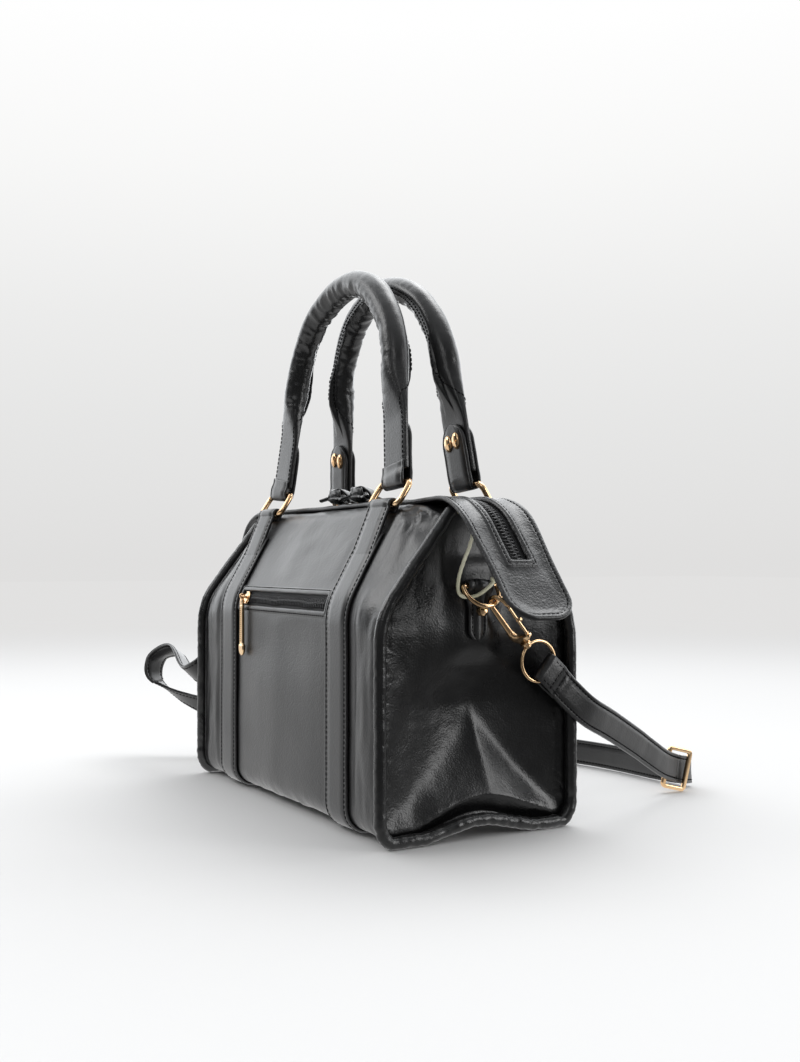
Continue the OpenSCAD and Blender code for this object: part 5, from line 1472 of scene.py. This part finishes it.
def on_slope(x, up, out):
    """Place on the pocket's stretch of the panel: along, up the slope and over the leather."""
    angle = math.radians(pocket_mid) + up / shoulder_r
    r = shoulder_r + out
    return np.stack([x + 0 * r, -shoulder_y - r * np.cos(angle), shoulder_z + r * np.sin(angle)], -1)


def on_pocket(points):
    """Places drawn flat over the pocket's middle, set on the slope."""
    raised = np.asarray(points, float) + (0, 0, face_r)
    return spin(raised, 0, 90 - pocket_mid) + (0, -shoulder_y, shoulder_z)


step_in = np.array([0, 0.15, 0.4, 0.8, 1.3, 1.9, 2.5, 3.0, 3.4, 3.9])
lip_x = np.unique(np.round(np.concatenate([np.linspace(-pocket_half, pocket_half, 118),
                                           -pocket_half - step_in, pocket_half + step_in,
                                           lip_end - step_in[:5], step_in[:5] - lip_end]), 4))
lip_up = np.unique(np.round(np.concatenate([np.linspace(-opening_half, opening_half, 6),
                                            opening_half + step_in, -opening_half - step_in,
                                            lip_half - step_in[:5], step_in[:5] - lip_half]), 4))
x, up = np.meshgrid(lip_x, lip_up, indexing="ij")
edge_in = np.hypot(np.maximum(np.abs(x) - pocket_half, 0), np.maximum(np.abs(up) - opening_half, 0))
edge_out = np.minimum(lip_end - np.abs(x), lip_half - np.abs(up))
spots = on_slope(x, up, 0 * x)
bulge = 1.25 * np.sqrt(1 - (1 - np.clip(edge_in / 1.1, 0, 1)) ** 2) * (0.25 + 0.75 * smooth(edge_out / 1.6))
bulge -= 0.45 * np.exp(-((edge_in - 3.1) / 0.45) ** 2)
bulge += 0.16 * ripple(spots.reshape(-1, 3) * (0.35, 1, 1), 6, 81).reshape(x.shape) * smooth(edge_in / 1)
under = np.where(edge_in < 2.0, -0.9 + 0.45 * edge_in, 0.0)
lift_lip = 0.25 * ripple(spots.reshape(-1, 3) * (1, 0, 0), 26, 83).reshape(x.shape)
lift_lip *= 1 - smooth(edge_in / 3)
cell_x, cell_up = (np.abs(at[:-1, :-1] + at[1:, 1:]) / 2 for at in (x, up))
inner_cell = (cell_x < pocket_half) & (cell_up < opening_half)
up_lip = up - np.sign(up) * lift_lip
two_faced("pocket_lip_leather", on_slope(x, up_lip, np.maximum(bulge, 0.12)),
          on_slope(x, up_lip, under), np.zeros(x.shape, bool), ~inner_cell, strap_leather, "bag",
          ["pocket_lips"])
seam_x = np.linspace(-73, 73, 160)
level = 0 * seam_x
stitches("pocket_lip_stitches",
         [(on_slope(seam_x, level + s * (opening_half + 3.1), level + 0.78),
           unit(on_slope(seam_x, level + s * 8.4, level + 5) - on_slope(seam_x, level + s * 8.4, level)))
          for s in (-1, 1)], "bag", 3.0, 2.2)


def on_pocket_zip(run, y, height):
    """The pocket's zip lies in its own plane, with slight waves in its tapes."""
    run, y, height = np.broadcast_arrays(np.asarray(run, float), y, height)
    wave = (0.35 * np.sin(run * 0.11) + 0.2 * np.sin(run * 0.23 + 1)) * smooth((61 - np.abs(run)) / 16)
    return on_pocket(np.stack([run, y * 0.86 + wave, height], -1))


for side, name, shift in ((-1, "low", 0.0), (1, "high", tooth_pitch / 2)):
    starts = np.arange(-67 + shift, 67, tooth_pitch)
    zip_side("pocket", name, side, on_pocket_zip, starts, np.linspace(-70.5, 70.5, 120), "pocket_zip",
             (1.2, 7.0))

# Pocket bag
# One sheet of lining, down from the lower lip and up behind to the upper lip, closed at
# both sides and hanging a little open.
bag_half = 70.4
bag_x = np.linspace(-bag_half, bag_half, 61)
low_lip, high_lip = np.linspace(pocket_angles[0], 0, 7), np.linspace(0, pocket_angles[1], 10)[1:]
fall = np.linspace(shoulder_z, 45.6, 26)
down_and_up = np.r_[fall[1:], fall[::-1][1:]]
bag_rows = np.vstack([arc_points((shoulder_y, shoulder_z), bag_r, low_lip),
                      np.column_stack([np.full(50, shoulder_y + bag_r), down_and_up]),
                      arc_points((shoulder_y, shoulder_z), bag_r, high_lip)])
behind = np.r_[np.zeros(32), np.linspace(0, 1, 34)]
hang = 11 * smooth(behind * 3) * smooth((1 - behind) * 4)
x, y = np.meshgrid(bag_x, bag_rows[:, 0], indexing="ij")
z = np.repeat(bag_rows[None, :, 1], len(bag_x), 0)
open_by = hang[None] * (1 - np.abs(x / bag_half) ** 6)
sheet_at = np.stack([x, -y + 0.3 + open_by, z], -1)
sheet_at[..., 1] += 0.5 * ripple(sheet_at.reshape(-1, 3), 19, 87).reshape(x.shape) * smooth(open_by / 4)
new_piece("pocket_bag", sheet_at, grid_faces(*x.shape), lining_cloth, "bag",
          ["pocket_pouch"])

# Sliders
# A domed cap with two flanges over the coil and a bridge that holds the pull. The two
# main sliders meet near the middle of the bag.
cap = np.vstack([arc_points((0.5, 0), 4.5, np.linspace(-90, 90, 17)),
                 arc_points((-2, 0), 3, np.linspace(90, 270, 13))])


def slider_shape():
    """A slider drawn at the origin, pointing along X."""
    rows = []
    for height, shrink in ((1.55, 0.25), (1.75, 0), (2.3, 0), (2.6, 0.35), (2.75, 1.1)):
        rows.append(np.column_stack([cap * (1 - shrink / 4.5), np.full(len(cap), height)]))
    body = (np.vstack(rows), tube_faces(5, len(cap)))
    flange, faces = cast_plate(bent_box(2.5, 0.3, 2.6, 0.6)[:, (0, 2)], 0.6, 0.2)
    parts = [body] + [(flange + (0, s * 4.05, 0), faces) for s in (-1, 1)]
    bridge = np.vstack([[(-3.0, 2.5), (-2.75, 4.4)], arc_points((-1.7, 5.2), 1.0, np.linspace(180, 90, 6)),
                        arc_points((1.7, 5.2), 1.0, np.linspace(90, 0, 6)), [(2.75, 4.4), (3.0, 2.5)]])
    bridge = stood_up(bridge)
    parts.append((tube_points(bridge, 0.78, 14, np.repeat([[0.0, 1, 0]], len(bridge), 0)),
                  tube_faces(len(bridge), 14)))
    return joined(parts)


slider_points, slider_faces = slider_shape()
slider_gap, pocket_slider_x = 17, -60
sliders_mid = 0.03 * body_half_l
new_piece("pocket_slider_cast", on_pocket(slider_points + (pocket_slider_x, 0, 0)), slider_faces,
          pale_gold, "pocket_slider", ["pocket_slider"])
main_at = {"right": sliders_mid + slider_gap, "left": sliders_mid - slider_gap}
for end, way in (("right", 1), ("left", -1)):
    new_piece(f"zip_slider_{end}_cast", slider_points * (way, 1, 1) + (main_at[end], 0, body_h),
              slider_faces, pale_gold, "slider_" + end, ["slider_" + end])

# Pocket pull
# An eye on the bridge, a block, a shaft with raised edges and slanting ribs, and a
# bullet tip.
rib_pitch = 1.5
eye_of_pull = wire_loop([(0, 1.55 * math.cos(t), 1.55 * math.sin(t))
                         for t in np.linspace(0, 2 * np.pi, 25)[:-1]], 0.62, (1, 0, 0), 12)
shaft_z = np.array([-1.8, -2.6, -3.4, -5.6, -6.0, -6.4, -6.8, -8.4, -34.6, -35.2, -35.8, -37, -39, -41,
                    -42.6, -43.5, -43.9])
shaft_half = np.array([0.9, 1.2, 1.5, 1.7, 1.9, 1.5, 1.9, 2.1, 2.5, 2.5, 3.1, 3.45, 3.5, 3.1, 2.1, 1.2,
                       0.3])
shaft_deep = np.array([0.7, 0.9, 0.9, 0.9, 0.9, 0.6, 0.85, 0.85, 0.9, 0.6, 0.95, 1.0, 1.0, 0.95, 0.75,
                       0.45, 0.15])
dense_z = np.unique(np.concatenate([shaft_z, np.linspace(-8.6, -34.4, 130)]))[::-1]
half = np.interp(-dense_z, -shaft_z, shaft_half)
deep = 1.35 * np.interp(-dense_z, -shaft_z, shaft_deep)
around = np.array([(1, -0.5), (1, 0.5), (0.86, 0.95), (0.72, 0.95), (0.6, 0.62), (0.3, 0.62), (0, 0.62),
                   (-0.3, 0.62), (-0.6, 0.62), (-0.72, 0.95), (-0.86, 0.95), (-1, 0.5), (-1, -0.5),
                   (-0.8, -0.95), (0, -1), (0.8, -0.95)])
on_shaft = ((dense_z < -8.4) & (dense_z > -34.6))[:, None]
side_share, face_share = around[None, :, 0], around[None, :, 1]
depth = np.where(on_shaft, face_share, np.sign(face_share) * np.maximum(np.abs(face_share), 0.9))
rib = 0.16 * np.cos((dense_z[:, None] + side_share * half[:, None] * 0.8) * 2 * np.pi / rib_pitch)
depth = depth + np.where(on_shaft & (np.abs(side_share) < 0.65) & (face_share > 0), rib, 0)
pull = np.stack([side_share * half[:, None], -depth * deep[:, None], np.repeat(dense_z[:, None], 16, 1)],
                -1)
points, faces = joined([eye_of_pull, (pull, tube_faces(len(dense_z), 16))])
pull_at = on_pocket([(pocket_slider_x, 0, 6.2)])[0]
new_piece("pocket_pull_cast", points + pull_at, faces, pale_gold, "pocket_pull",
          ["pocket_pull"])

# Leather pulls
# A flat lace is looped through each main slider's bridge, folded over itself into a knot
# like a small tied ribbon, and cut off in two flat tails.
lace_wide, lace_thick = 9, 1.7
knot_widths = [0.9, 1.0, 1.05, 1.0, 0.9, 0.8, 0.7]
knot_breadth = np.array([(0.5, 0.7, 0.3), (0.6, 0.7, 0.2), (0.75, 0.65, 0), (0.8, 0.5, 0.3), (0.8, 0.5, 0),
                         (0.7, 0.6, 0), (0.6, 0.7, 0)])


def lace(places, widths, breadth, seed):
    """A flat lace through places, with its breadth's direction and share of width at each."""
    path = curve_through(places, 8)
    wide = curve_through(breadth, 8)
    width = np.interp(np.linspace(0, 1, len(path)), np.linspace(0, 1, len(widths)), widths)
    section = strap_section(lace_wide, lace_thick, seam=1.6, dip=0.15, crown=0.25)
    points = band_points(path, wide, section, width)
    points = points + 0.15 * ripple(points.reshape(-1, 3), 3, seed).reshape(points.shape[:2])[..., None]
    return points, tube_faces(len(path), len(section))


for end, seed in (("right", 91), ("left", 96)):
    reach = np.array((main_at[end], 0, body_h))
    strand = lace(reach + [(0, -13.5, 9.6), (0, -6, 8.6), (0, -1.6, 7.6), (0, 1.3, 6.2), (0, -1.2, 4.9),
                           (0, -6, 6.8), (0, -13, 8.4)], [0.5, 0.5, 0.4, 0.35, 0.4, 0.5, 0.5],
                  [(1, 0, 0)] * 7, seed)
    first_turn = lace(reach + [(-7.4, -9.2, 6.6), (-7.2, -12.2, 11.4), (-2, -17.4, 14.6),
                               (4.4, -21.4, 11.8), (5.6, -19.4, 6.6), (1.2, -14.6, 5.0),
                               (-4.2, -11.6, 5.7)], knot_widths, knot_breadth, seed + 1)
    second_turn = lace(reach + [(7.6, -9.6, 6.4), (6.8, -11.6, 11.6), (1.6, -15.8, 15.0),
                                (-4.8, -20.4, 12.6), (-6.0, -20.0, 7.2), (-1.6, -15.4, 5.0),
                                (4.2, -12, 5.6)], knot_widths, knot_breadth * (-1, 1, 1), seed + 2)
    tails = [lace(reach + [(s * 1.6, -15, 10.4), (s * 5.2, -19.6, 9.4), (s * 8.4, -23.6, 7.8),
                           (s * 10.2, -26.1, 6.8)], [0.8, 1.0, 1.05, 1.0], [(0.8, s * 0.62, 0)] * 4,
                  seed + 3 + s) for s in (-1, 1)]
    points, faces = joined([strand, first_turn, second_turn] + tails)
    new_piece("knotted_lace_" + end, points, faces, soft_leather, "knot_" + end,
              ["knot_" + end])
